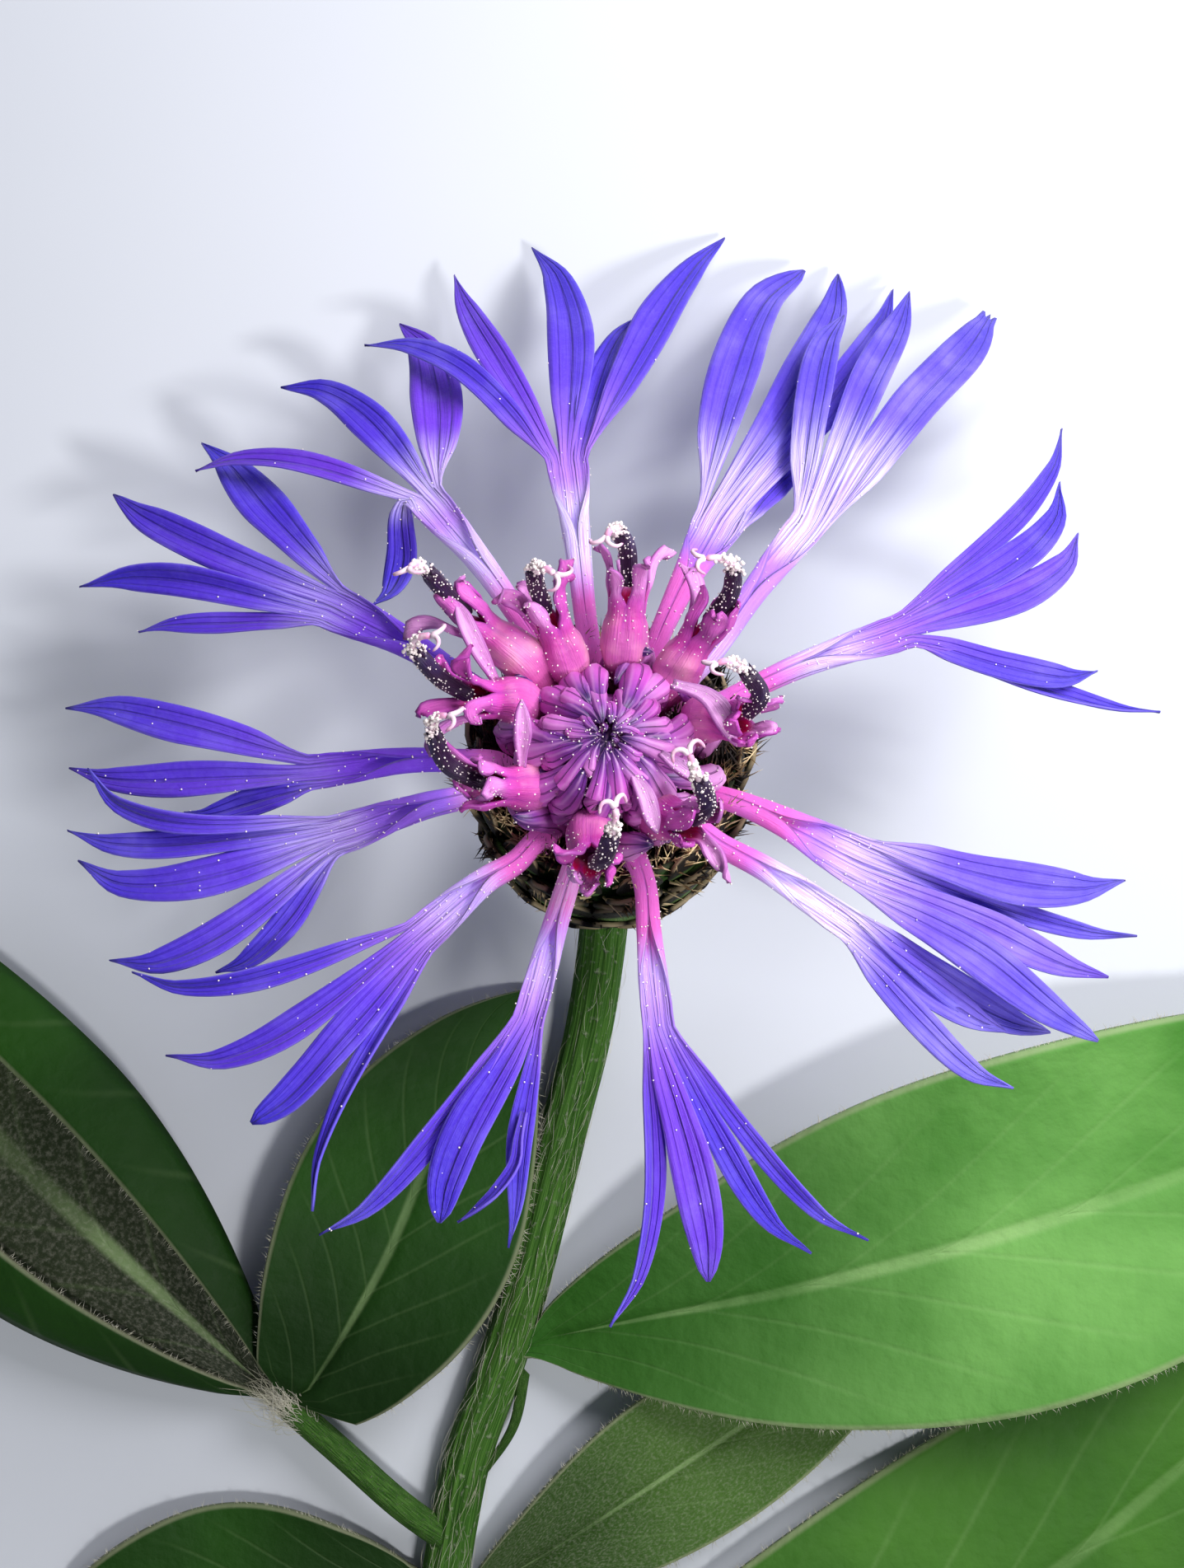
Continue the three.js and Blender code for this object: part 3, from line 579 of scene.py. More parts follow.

# root: bearing of the root. throat: bearing and reach of the place where the tube splits. mouth:
# half width there. pink: where the pink of the root ends. deep: how deep the violet of the tube
# is. light: how much painted light lies on the lobes, more on the rays on the side of the lamps.
# pale: start, end and strength of the pale stretches. lobes: bearing and reach of the tip, half
# width, sideways bow, lift, fold, twist, how blunt the tip is and how ragged. curl: the way of a
# torn thread of a lobe.
RAY_FLORETS = [
    dict(root=153, throat=(148.6, 19), mouth=1.75, pink=0.1, deep=0.95, light=0,
         pale=[(0.5, 0.62, 0.35)],
         lobes=[
             (137, 37, 1.5, -0.3, -0.6, 0.3, 10, 0.1), (147, 38.8, 1.3, 0.5, 0, 0.35, 0, 0.2),
             (158, 36.5, 1.1, -1, 0.3, 0.6, -30, 0), (161, 31.4, 0.75, -0.2, -0.7, 0.4, 0, 0)]),
    dict(root=122, throat=(122, 20.8), mouth=1.5, pink=0.2, deep=0.1, light=0,
         pale=[(0.24, 0.4, 0.75), (0.5, 0.62, 0.7)],
         lobes=[
             (141, 34.5, 0.95, -1.5, 1, 0.5, 20, 0), (127, 36.3, 1.35, -1.9, 0.3, 0.35, 0, 0),
             (112, 38, 1.75, -1.4, -0.7, 0.25, 0, 0.1), (143, 18.5, 1.1, 1, -1.6, 0.3, 20, 0)]),
    dict(root=99, throat=(97, 20.4), mouth=1.55, pink=0.16, deep=0.2, light=0.05,
         pale=[(0.22, 0.42, 1)],
         lobes=[
             (117, 35.9, 1.1, -2, 0.9, 0.5, 15, 0), (105, 41, 1.15, 0.4, 0, 0.4, 0, 0),
             (97, 42.7, 1.6, -1.5, 0, 0.25, 0, 0), (86, 35.3, 1.1, 0.9, -0.5, 0.5, -20, 0),
             (79, 44.3, 1.4, 0.7, 0.2, 0.35, 0, 0.1)]),
    dict(root=67.5, throat=(66.8, 17), mouth=1.85, pink=0.3, deep=0.45, light=0.16,
         pale=[(0.48, 0.62, 0.7)],
         lobes=[
             (71, 42.9, 1.7, 2.2, -0.2, 0.35, 0, 0.55), (68, 43.9, 1.5, -0.9, -0.5, 0.35, 0, 0.35),
             (63, 45, 1.3, -1.1, -1.2, 0.4, 20, 0.1), (59, 26.4, 0.9, 0.1, -1.3, 0.4, 0, 0)]),
    dict(root=45, throat=(52.2, 19.7), mouth=1.4, pink=0.06, deep=0.25, light=0.28,
         pale=[(0.08, 0.16, 0.75), (0.44, 0.68, 0.9)],
         lobes=[
             (65, 38.2, 1.3, 0.8, 1.3, 0.35, 0, 0.2), (61, 43.6, 1.35, -0.2, 0.9, 0.4, 0, 0.15),
             (54, 45.6, 1.65, -0.3, 0.3, 0.25, 0, 0.7, 0.3)]),
    dict(root=25, throat=(25.8, 19.2), mouth=1.4, pink=0.2, deep=0.45, light=0.1,
         pale=[(0.26, 0.42, 0.6)],
         lobes=[
             (41, 40.6, 0.75, -1.5, 0, 0.5, 20, 0), (36, 36.8, 1.15, -1.9, 0.3, 0.4, 0, 0),
             (30, 35.3, 1.25, -1.7, 0, 0.35, 0, 0), (13, 31.3, 1.05, -0.9, 0.2, 0.3, 0, 0),
             (8, 34.9, 0.75, -0.5, -0.5, 0.6, -30, 0)]),
    dict(root=337, throat=(336, 15), mouth=1.75, pink=0.32, deep=0.25, light=0.3,
         pale=[(0.48, 0.6, 0.6)],
         lobes=[
             (347, 31.5, 1.35, -0.9, 0.6, 0.3, 0, 0.1), (342, 33, 0.7, -0.6, -0.4, 0.5, 20, 0),
             (336, 32, 1.15, -0.5, 0.2, 0.35, 0, 0.15),
             (329, 32.9, 1.3, -0.2, 0.6, 0.3, 0, 0.35)]),
    dict(root=318, throat=(323, 16.3), mouth=1.15, pink=0.24, deep=0.2, light=0.5,
         pale=[(0.32, 0.58, 1)],
         lobes=[
             (328, 30.4, 1.1, -0.4, -1.2, 0.35, 0, 0.4),
             (325, 28.2, 1.05, -0.3, -1.1, 0.35, 0, 0.2), (320, 30.4, 0.95, -1, -0.8, 0.4, 0, 0)]),
    dict(root=284, throat=(280, 15.5), mouth=1.05, pink=0.32, deep=0.25, light=0,
         pale=[(0.36, 0.5, 0.4)],
         lobes=[
             (297, 31.8, 0.6, -1.2, -0.3, 0.5, 10, 0), (291, 31.2, 0.8, -1.1, 0, 0.45, 0, 0.1),
             (280, 31.2, 1.2, 0.2, 0.3, 0.3, 0, 0.75), (270, 33.1, 0.65, 1.3, 0, 0.8, -35, 0)]),
    dict(root=254, throat=(254, 15.4), mouth=1.05, pink=0.26, deep=0.2, light=0,
         pale=[(0.12, 0.28, 0.4), (0.34, 0.48, 0.5)],
         lobes=[
             (259, 29.4, 0.7, 0, 0, 0.5, 0, 0), (251, 29.1, 1.25, -0.5, 0.3, 0.3, 0, 0.75),
             (240, 32.4, 0.75, 1.1, 0, 0.8, -30, 0)],
         curl=[
             (257.4, 22, 2.6), (257.6, 23.6, 3), (257.9, 25, 3.1), (256.5, 26.8, 3.1),
             (254.8, 27.9, 2.8), (253, 28.8, 2.3)]),
    dict(root=232, throat=(226, 14.4), mouth=1.35, pink=0.26, deep=0.25, light=0,
         pale=[(0.3, 0.5, 0.55)],
         lobes=[
             (238, 31.5, 0.62, -0.9, -0.3, 0.7, 40, 0), (227, 29.8, 1.15, 0.5, 0, 0.3, 0, 0.7),
             (215, 31.1, 0.95, 1.9, 0.3, 0.4, 0, 0), (205, 30.6, 0.7, 1.7, 0.8, 0.6, -20, 0)]),
    dict(root=199, throat=(197, 15.7), mouth=1.45, pink=0.16, deep=0.7, light=0.05,
         pale=[(0.12, 0.2, 0.5), (0.48, 0.62, 0.5)],
         lobes=[
             (209, 26.3, 0.9, 0.9, -0.8, 0.35, 0, 0), (202, 31.7, 1.1, 1.8, -0.2, 0.4, 0, 0),
             (190, 32.3, 1.25, 2.1, 0.1, 0.3, 0, 0), (186.5, 32.8, 0.95, 1, 0.5, 0.4, 0, 0),
             (180, 31.5, 0.65, 2.2, 1.2, 0.7, -20, 0)]),
    dict(root=184, throat=(182.5, 16.7), mouth=1.3, pink=0.13, deep=0.95, light=0.05,
         pale=[(0.5, 0.6, 0.15)],
         lobes=[
             (185.5, 25.8, 0.9, 0.5, -1.2, 0.35, 0, 0), (178.5, 33.2, 1.15, 0.7, -0.6, 0.35, 0, 0),
             (172, 34, 1.25, -0.5, 0.2, 0.35, 0, 0)]),
]


def ray_height(bearing, reach, lift):
    droop = 5.5 + 3.5 * math.sin(math.radians(bearing))
    out = min(1.3, max(0, (reach - 8) / 30))
    return 3 - droop * out ** 1.4 + lift


def ray_lobe(tip, throat):
    """Returns what makes the lobe once the place where it leaves the throat is known."""
    bearing, reach, half, bow, lift, fold, twist, blunt, *ragged = tip

    def make(start, _stand, flow):
        end = polar(bearing, reach)
        mouth = polar(lerp(throat[0], turn_to(throat[0], bearing), 0.2), throat[1] + 1.5)
        way = end - mouth
        across = UP.cross(way).normalized()
        middle = mouth + way * 0.5 + across * bow

        def lay(point, share):
            at = math.degrees(math.atan2(point.y, point.x))
            return Vector((point.x, point.y, ray_height(at, point.length, lift * share)))

        shoulder = mouth + way * 0.82 + across * (bow * 0.8 + math.copysign(0.15, bow))
        points = [start, lay(mouth, 0.25).lerp(start + flow * 1.7, 0.9), lay(middle, 1),
                  lay(shoulder, 1), lay(end, 1)]
        way = Way(points, before=start - flow * 2)
        return Lobe(way, half, fold, twist, blunt=blunt, phase=bearing, ragged=sum(ragged))

    return make


def make_ray_floret(number, floret, finish):
    mesh = new_mesh()
    root = floret["root"]
    bearing, reach = floret["throat"]
    tube = Way([
        polar(root, RAY_ROOT_REACH, 0.35),
        polar(root, RAY_ROOT_REACH + 0.05, 1.5),
        polar(root, RAY_ROOT_REACH + 0.8, 2.8),
        polar(root, CUP_REACH + 1.5, RAY_LEVEL),
        polar(lerp(root, bearing, 0.6), (CUP_REACH + reach) / 2,
              ray_height(bearing, reach / 2, 0.4)),
        polar(bearing, reach, ray_height(bearing, reach, 0)),
    ], after=polar(bearing, reach + 2.5, ray_height(bearing, reach + 2.5, 0)))
    lobes = sorted(floret["lobes"], key=lambda tip: -turn_to(bearing, tip[0]))
    corolla(
        mesh, tube,
        lambda s: lerp(0.62, floret["mouth"] * 0.84, max(0, (s - 0.2) / 0.8) ** 1.9),
        lambda s: lerp(0.62, 0.34, smooth(s, 0.35, 0.95)),
        lambda s: lerp(360, 196, smooth(s, 0.56, 1)),
        [ray_lobe(tip, floret["throat"]) for tip in lobes],
        columns=6, tube_rows=26, lobe_rows=26, lean=-polar(root + 90, 1), first=8 * number,
        furrow=lambda s: 0.07 * smooth(s, 0.05, 0.3) + 0.05 * smooth(s, 0.5, 0.9))
    if "curl" in floret:
        lobe = Lobe(Way([polar(*spot) for spot in floret["curl"]]), 0.42, 0.9, 60, phase=number)
        add_strap(mesh, lobe, 8 * number + 5, 0.72)
    return finish_piece(mesh, f"ray_{number}", HEAD, [finish],
                        [f"ray_floret_{number}"], sizes().petal_thickness, closed=False)


def ray_finish(number, floret):
    """Pink root, pale thin stretch, violet lobes with soft folds and veins, blue-violet tips.

    Some folded lobes have painted shade on one half, the lobes of the rays on the side of the
    lamps have painted light, and the tubes and throats a painted glow.
    """
    finish = Finish(f"petal_violet_{number}")
    tone = colours()
    pink, light = floret["pink"], floret["light"]
    across, along = finish.marks()
    lobe = across.whole()
    side = (across.part() - 0.5).size() * 2
    luck = finish.chance(lobe)
    other = finish.chance(lobe + 0.5)
    mottle = finish.noise(1500.0, 5.0, 0.65)
    cloud = finish.noise(260.0, 3.0)
    streaks = finish.noise(3.0, 3.0, over=(across * 9, along * 3))
    violet = tuple(lerp(a, b, floret["deep"]) for a, b in zip(tone.ray_throat, tone.ray_deep))
    finish.colour = finish.ramp(along + (streaks - 0.5) * 0.08, [
        (0.0, tone.ray_tube), (pink, tone.ray_tube), (pink + 0.1, violet), (0.5, violet),
        (0.68, tone.ray_lobe), (1.0, tone.ray_tip)])
    free = along.step(0.5, 0.66)
    finish.cover(free * luck.step(0.55, 0.9) * 0.38, tone.ray_rosy)
    finish.cover(free * other * 0.4, tone.ray_tip)
    # Painted shade: one half of some folded lobes is darker, as if the fold turned it from the
    # light.
    half = across.part().step(0.44, 0.56) * other.step(0.35, 0.5)
    finish.cover(half * free * 0.35, tone.ray_tip)
    for start, end, pale in floret["pale"]:
        thin = along.step(start - 0.06, start + 0.05) * along.step(end + 0.08, end - 0.05)
        thin = thin * (streaks.step(0.36, 0.6) * 0.8 + 0.2) * pale
        finish.cover(thin, tone.ray_pale)
    # Painted light: pale clouds over every ray for light shining through the thin petal, and more
    # light on the lobes of the rays on the side of the lamps, as much as the floret's light gives.
    painted_glow = cloud.step(0.45, 0.75) * 0.15 + (cloud.step(0.25, 0.75) * 0.7 + 0.3) * free * light
    finish.cover(painted_glow, tone.ray_light)
    middle = side.step(0.16, 0.03) * along.step(0.5, 0.62)
    twin = (side - 0.55).size().step(0.09, 0.0) * along.step(0.3, 0.55) * 0.6
    joint = side.step(0.82, 1.0) * along.step(0.1, 0.2) * along.step(0.66, 0.5)
    lines = (middle + twin + joint) * streaks.step(0.15, 0.55)
    finish.cover(lines * 0.26, tone.ray_vein)
    rim = side.step(0.9, 1.0) * free
    finish.cover(rim * 0.22, tone.ray_light)
    finish.cover((mottle - 0.5).size() * 0.3, tone.ray_light)
    relief = finish.relief(lines * -1.0 + mottle * 0.5 + streaks * 0.5, 0.00012)
    # Painted glow: the tubes and throats give off a little light of their own colour, for light
    # that shines through the thin petal.
    through = finish.mix(along.step(0.72, 0.42), "#000000", finish.colour)
    return finish.set(Roughness=0.48 + mottle * 0.15, Normal=relief,
                      Emission_Color=through, Emission_Strength=0.2,
                      Sheen_Weight=0.12, Sheen_Roughness=0.4, Specular_IOR_Level=0.3)


class CORNFLOWER_OT_ray_florets(bpy.types.Operator):
    """Ray florets: thin tubes that open into long pointed lobes"""

    bl_idname = "cornflower.ray_florets"
    bl_label = "Ray florets"

    def execute(self, context):
        for number, floret in enumerate(RAY_FLORETS, 1):
            make_ray_floret(number, floret, ray_finish(number, floret))
        return {"FINISHED"}


# ---- disc florets -----------------------------------------------------------

# swelling, throat: bearing and reach. anther: bearing, reach and height of the foot, the bend and
# the end of the dark tube. style: the end of the pale tip. lobe: length of the lobes.
DISC_FLORETS = [
    dict(swelling=(117, 5.7), throat=(117, 6.9), lobe=2.6,
         anther=[(118, 7.7, 8.1), (119, 8.6, 10), (119, 8.8, 12)], style=(114, 7.4, 13.3)),
    dict(swelling=(136, 6.7), throat=(140, 9.4), lobe=3.6,
         straps=[([(156, 7.2, 7), (149, 9.2, 9.4), (142, 11.2, 9.6)], 0.55)],
         anther=[(141, 10.4, 8.3), (142, 12, 9.8), (143, 13, 11.6)], style=(147, 13.4, 13)),
    dict(swelling=(158, 5.8), throat=(166, 7), lobe=3.6,
         anther=[(169, 8, 8), (168, 9.8, 9.6), (165, 11.3, 11.4)], style=(162, 10.4, 12.9)),
    dict(swelling=(214, 5.8), throat=(211, 7.1), lobe=3,
         straps=[([(207, 5.6, 7.3), (190, 5, 8.9), (172, 5, 9.6)], 0.5)],
         anther=[(209, 8, 8), (199, 9.6, 9.5), (191, 10, 11.4)], style=(190, 9, 12.8)),
    dict(swelling=(260, 6.1), throat=(262, 7.9), lobe=2.6,
         anther=[(264, 8.7, 8.4), (268, 8.8, 10.1), (271, 8, 11.8)], style=(272, 7, 13.1)),
    dict(swelling=(302, 5.9), throat=(304, 7), lobe=2.5,
         straps=[([(293, 3.4, 8.2), (293, 5.2, 8.6), (292, 7.2, 7.8)], 0.55),
                 ([(325, 3.6, 8.4), (322, 5.4, 9), (326, 7, 8.6)], 0.5)],
         anther=[(307, 7.7, 8.3), (313, 7.9, 10.1), (315, 6.9, 11.8)], style=(318, 5.8, 13)),
    dict(swelling=(11, 5.8), throat=(2, 6.9), lobe=2.7,
         straps=[([(30, 4.2, 8.6), (8, 5.9, 9.2), (348, 7.4, 8.2)], 0.62)],
         anther=[(1, 7.8, 8.7), (4, 8.5, 10.4), (11, 7.7, 12)], style=(14, 6.1, 13)),
    dict(swelling=(46, 5.8), throat=(47, 7.3), lobe=3,
         anther=[(47, 8.3, 8.1), (46, 10, 9.7), (48, 10.6, 11.6)], style=(56, 9.6, 12.9)),
    dict(swelling=(81, 5.8), throat=(82, 7.6), lobe=2.8,
         anther=[(82, 8.5, 8.2), (84, 10, 9.9), (87, 10.2, 11.8)], style=(91, 9.2, 13.1)),
]
DISC_ROOT_REACH = 4.6
DISC_RADIUS = [
    (0, 0.5), (0.3, 0.6), (0.5, 1.05), (0.68, 1.38), (0.82, 1.3), (0.92, 1.05), (1, 1.08)]


def disc_way(floret):
    bearing, reach = floret["swelling"]
    foot = polar(*floret["anther"][0])
    neck = polar(turn_to(bearing, floret["throat"][0]), floret["throat"][1], 7.2)
    end = neck.lerp(foot, 0.25)
    return Way([polar(bearing, DISC_ROOT_REACH, 0.35), polar(bearing, DISC_ROOT_REACH + 0.1, 2.6),
                polar(bearing, reach, 5.8), end], after=end + (foot - end).normalized())


def disc_lobe(length, spread, half, luck):
    def make(start, stand, _flow):
        centre, along, _, _ = stand
        out = start - centre
        out = (out - along * out.dot(along)).normalized()
        aside = along.cross(out) * luck.uniform(-0.5, 0.5)
        points = [start, start + along * length * 0.35 + out * 0.15]
        for ahead, outward, sideways in ((0.68, 0.4, 0.5), (0.86, 0.9, 1), (0.84, 1.5, 1.4)):
            bend = (out * spread * outward + aside * sideways) * 0.5
            points.append(start + (along * ahead + bend) * length)
        return Lobe(Way(points, before=start - along), half, 0.7, luck.uniform(-35, 35), up=-out,
                    blunt=luck.uniform(0.1, 0.6), phase=luck.uniform(0, 6))

    return make


def make_disc_floret(number, floret, finishes):
    mesh = new_mesh()
    luck = random.Random(40 + number)
    lobes = [disc_lobe(floret["lobe"] * luck.uniform(0.85, 1.3), luck.uniform(-0.2, 1.3),
                       luck.uniform(0.5, 0.7), luck) for _ in range(5)]
    corolla(
        mesh, disc_way(floret),
        lambda s: steps(s, DISC_RADIUS),
        lambda s: steps(s, DISC_RADIUS),
        lambda s: 360,
        lobes, columns=6, tube_rows=26, lobe_rows=16,
        lean=-polar(floret["swelling"][0] + 90, 1), first=8 * number,
        furrow=lambda s: lerp(0.02, 0.14, smooth(s, 0.3, 0.8)))
    for spots, half in floret.get("straps", []):
        way = Way([polar(*spot) for spot in spots])
        add_strap(mesh, Lobe(way, half, 0.5, 0, blunt=0.3, phase=number), 8 * number + 6, 0.6)
    return finish_piece(mesh, f"disc_{number}", HEAD, finishes,
                        [f"disc_floret_{number}"], sizes().disc_wall, back=1, closed=False)


def disc_finish(inside):
    """Rosy swelling with a painted glow where the light goes into it, pale pink lobes and a
    throat crimson inside.
    """
    finish = Finish("petal_pink_inside" if inside else "petal_pink")
    tone = colours()
    across, along = finish.marks()
    side = (across.part() - 0.5).size() * 2
    luck = finish.chance(across.whole())
    mottle = finish.noise(1300.0, 4.0)
    throat = tone.disc_throat if inside else "#c440a0"
    finish.colour = finish.ramp(along + (mottle - 0.5) * 0.08, [
        (0.0, "#7d3a4e"), (0.22, "#b84a8c"), (0.36, "#d26ab6"), (0.45, throat),
        (0.54, throat if inside else tone.disc), (0.64, tone.disc), (1.0, tone.disc)])
    lobes = along.step(0.54, 0.68)
    strap = ((across / 8).part() * 8).step(5.9, 6.0)
    finish.cover(lobes * luck.step(0.25, 0.9) * 0.8 + strap * 0.75, tone.disc_pale)
    bands = finish.noise(2.0, 3.0, over=(across * 10, along * 4))
    finish.cover(bands.step(0.45, 0.75) * 0.5, "#b63bb4")
    edge = side.step(0.66, 1.0) * along.step(0.34, 0.5)
    finish.cover(edge * 0.5, "#8e2496")
    # Painted glow: pale patches on the swelling, for light that goes into it.
    painted_glow = finish.noise(420.0, 2.0).step(0.4, 0.66) * along.step(0.5, 0.38)
    finish.cover(painted_glow * 0.6, "#eeaac0")
    relief = finish.relief(mottle + side * -0.4 + bands * 0.6, 0.0001)
    return finish.set(Roughness=0.3 + mottle * 0.2, Normal=relief,
                      Coat_Weight=0.1, Coat_Roughness=0.3, Specular_IOR_Level=0.35)


class CORNFLOWER_OT_disc_florets(bpy.types.Operator):
    """Open disc florets: a swollen throat with five strap-like lobes"""

    bl_idname = "cornflower.disc_florets"
    bl_label = "Disc florets"

    def execute(self, context):
        finishes = [disc_finish(True), disc_finish(False)]
        for number, floret in enumerate(DISC_FLORETS, 1):
            make_disc_floret(number, floret, finishes)
        return {"FINISHED"}


# ---- anther tubes and styles ------------------------------------------------


def anther_way(floret):
    foot, bend, end = (polar(*spot) for spot in floret["anther"])
    return Way([foot, bend, end])


ANTHER_RADIUS = [(0, 0.3), (0.08, 0.5), (0.5, 0.56), (0.85, 0.55), (0.96, 0.44), (1, 0.0)]


def make_anther(number, floret, finish):
    mesh = new_mesh()
    way = anther_way(floret)
    rod(mesh, way, lambda s: steps(s, ANTHER_RADIUS), 20, 40,
        lean=-polar(floret["anther"][0][0] + 90, 1), ribs=5, depth=0.14)
    end, along, side, normal = way.stand(1, lean=-LEFT)
    for tooth in range(5):
        angle = 2 * math.pi * tooth / 5
        out = side * math.cos(angle) + normal * math.sin(angle)
        spike(mesh, end - along * 0.45 + out * 0.3, along * 0.75 + out * 0.12, 0.2, 5)
    return finish_piece(mesh, f"anther_{number}", HEAD, [finish],
                        [f"anther_tube_{number}"])


def anther_finish():
    """Near black aubergine with a blue bloom and fine grooves."""
    finish = Finish("anther_aubergine", colours().anther)
    across, along = finish.marks()
    cloud = finish.noise(700.0, 3.0)
    streaks = finish.noise(2.0, 2.0, over=(across * 24, along * 2.0))
    bloom = cloud.step(0.45, 0.7) * along.step(0.25, 0.8)
    finish.cover(bloom * 0.5, "#33255c")
    finish.cover(streaks.step(0.55, 0.8) * 0.35, "#4f1e48")
    relief = finish.relief(streaks + cloud * 0.4, 0.0001)
    return finish.set(Roughness=0.34 + cloud * 0.2, Normal=relief, Sheen_Weight=0.05)


TUFT_GRAINS = 90


def grain(mesh, place, radius):
    bmesh.ops.create_icosphere(mesh, subdivisions=1, radius=radius,
                               matrix=Matrix.Translation(place))


def make_style(number, floret, finishes):
    """The style with its two curled ends, in a tuft of pollen at the mouth of the anther tube."""
    mesh = new_mesh()
    luck = random.Random(70 + number)
    way = anther_way(floret)
    end, along, _, _ = way.stand(1, lean=-LEFT)
    tip = polar(*floret["style"])
    across = along.cross(tip - end).normalized()
    middle = end.lerp(tip, 0.55) + along * 0.45
    neck = Way([end - along * 0.2, end + along * 0.35, middle, tip])
    rod(mesh, neck, lambda s: 0.2, 8, 14)
    lead = (tip - middle).normalized()
    for turn in (-1, 1):
        fork = Way([tip - lead * 0.1, tip + lead * 0.4 + across * turn * 0.25,
                    tip + lead * 0.55 + across * turn * 0.75 - along * 0.1,
                    tip + lead * 0.1 + across * turn * 1.0 - along * 0.3])
        rod(mesh, fork, lambda s: 0.17 * (1.15 - s * 0.7), 6, 10)
    styled = len(mesh.faces)
    for _ in range(TUFT_GRAINS):
        share = luck.random() ** 1.3
        spot = neck.at(share * 0.75)
        reach = 0.62 * (1 - 0.55 * share) * luck.uniform(0.35, 1)
        way_out = Vector([luck.gauss(0, 1) for _ in range(3)]).normalized()
        grain(mesh, spot + way_out * reach, luck.uniform(0.08, 0.15))
    mark_faces(mesh, styled, 1)
    return finish_piece(mesh, f"style_{number}", HEAD, finishes, [f"style_tip_{number}"])


def pollen_finish():
    finish = Finish("pollen_cream", colours().pollen)
    cloud = finish.noise(2500.0, 2.0)
    finish.cover(cloud.step(0.4, 0.7) * 0.6, "#efd9e2")
    return finish.set(Roughness=0.8 + cloud * 0.1, Normal=finish.relief(cloud, 0.00003))


def stigma_finish():
    finish = Finish("stigma_pink", "#f5d9ea")
    _, along = finish.marks()
    cloud = finish.noise(1800.0, 2.0)
    finish.cover(along.step(0.2, 0.9) * cloud.step(0.3, 0.6), colours().stigma)
    return finish.set(Roughness=0.5 + cloud * 0.2, Normal=finish.relief(cloud, 0.00004))


class CORNFLOWER_OT_anthers(bpy.types.Operator):
    """Dark anther tubes with pale styles and tufts of pollen at their ends"""

    bl_idname = "cornflower.anthers"
    bl_label = "Anthers and styles"

    def execute(self, context):
        dark = anther_finish()
        pale = [stigma_finish(), pollen_finish()]
        for number, floret in enumerate(DISC_FLORETS, 1):
            make_anther(number, floret, dark)
            make_style(number, floret, pale)
        return {"FINISHED"}


# ---- closed buds ------------------------------------------------------------

# count, foot, belly and tip as reach and height, radius, and turn as a share of the pitch. The
# buds lean to one side, the more the higher they are.
BUD_LEAN = Vector((-0.2, -1.2, 0))
BUD_ROWS = [
    dict(count=17, foot=(5.3, 0.6), belly=(5.9, 3.9), tip=(4.7, 6.6), radius=0.85, turn=0.3),
    dict(count=15, foot=(3.4, 2.0), belly=(4.45, 5.1), tip=(1.5, 8.4), radius=0.97, turn=0),
    dict(count=12, foot=(2.9, 4.2), belly=(3.3, 6.9), tip=(0.85, 8.75), radius=0.78, turn=0.5),
    dict(count=9, foot=(1.7, 5.6), belly=(2.0, 7.9), tip=(0.5, 8.9), radius=0.52, turn=0.2),
    dict(count=6, foot=(0.6, 6.4), belly=(0.9, 8.2), tip=(0.2, 8.75), radius=0.32, turn=0.6),
]
BUD_THICKNESS = [(0, 0.5), (0.32, 0.95), (0.55, 1), (0.8, 0.7), (1, 0.24)]
BUD_CORE = [
    (0.001, 0, 0.35), (3.2, 0, 0.4), (3.4, 0, 3), (3.3, 0, 5.4), (2, 0, 7.3), (0.001, 0, 7.9)]


def bud_shift(height):
    return BUD_LEAN * smooth(height, 3, 8)


def make_buds(finish):
    mesh = new_mesh()
    luck = random.Random(5)
    turned(mesh, Way(BUD_CORE), 24, 16, bud_shift)
    number = 0
    for row in BUD_ROWS:
        for bud in range(row["count"]):
            bearing = 360 * (bud + row["turn"]) / row["count"] + luck.uniform(-4, 4)
            grow = luck.uniform(0.93, 1.08)
            swing = luck.uniform(-17, 17)
            (r0, z0), (r1, z1), (r2, z2) = row["foot"], row["belly"], row["tip"]
            r2, z2 = r2 * luck.uniform(0.7, 1.5), z2 + luck.uniform(-0.25, 0.15)
            spots = [polar(bearing, r0, z0), polar(bearing + swing * 0.3, r1 * grow, z1 * grow),
                     polar(bearing + swing, (r1 + r2) / 2, lerp(z1, z2, 0.72)),
                     polar(bearing + swing * 1.6, r2, z2)]
            way = Way([spot + bud_shift(spot.z) for spot in spots])
            size = row["radius"] * luck.uniform(0.86, 1.1)
            rod(mesh, way, lambda s: size * steps(s, BUD_THICKNESS), 20, 20,
                lean=-polar(bearing + 90, 1), ribs=5, depth=0.13, shift=number)
            number += 1
    return finish_piece(mesh, "buds", HEAD, [finish], ["closed_buds"])


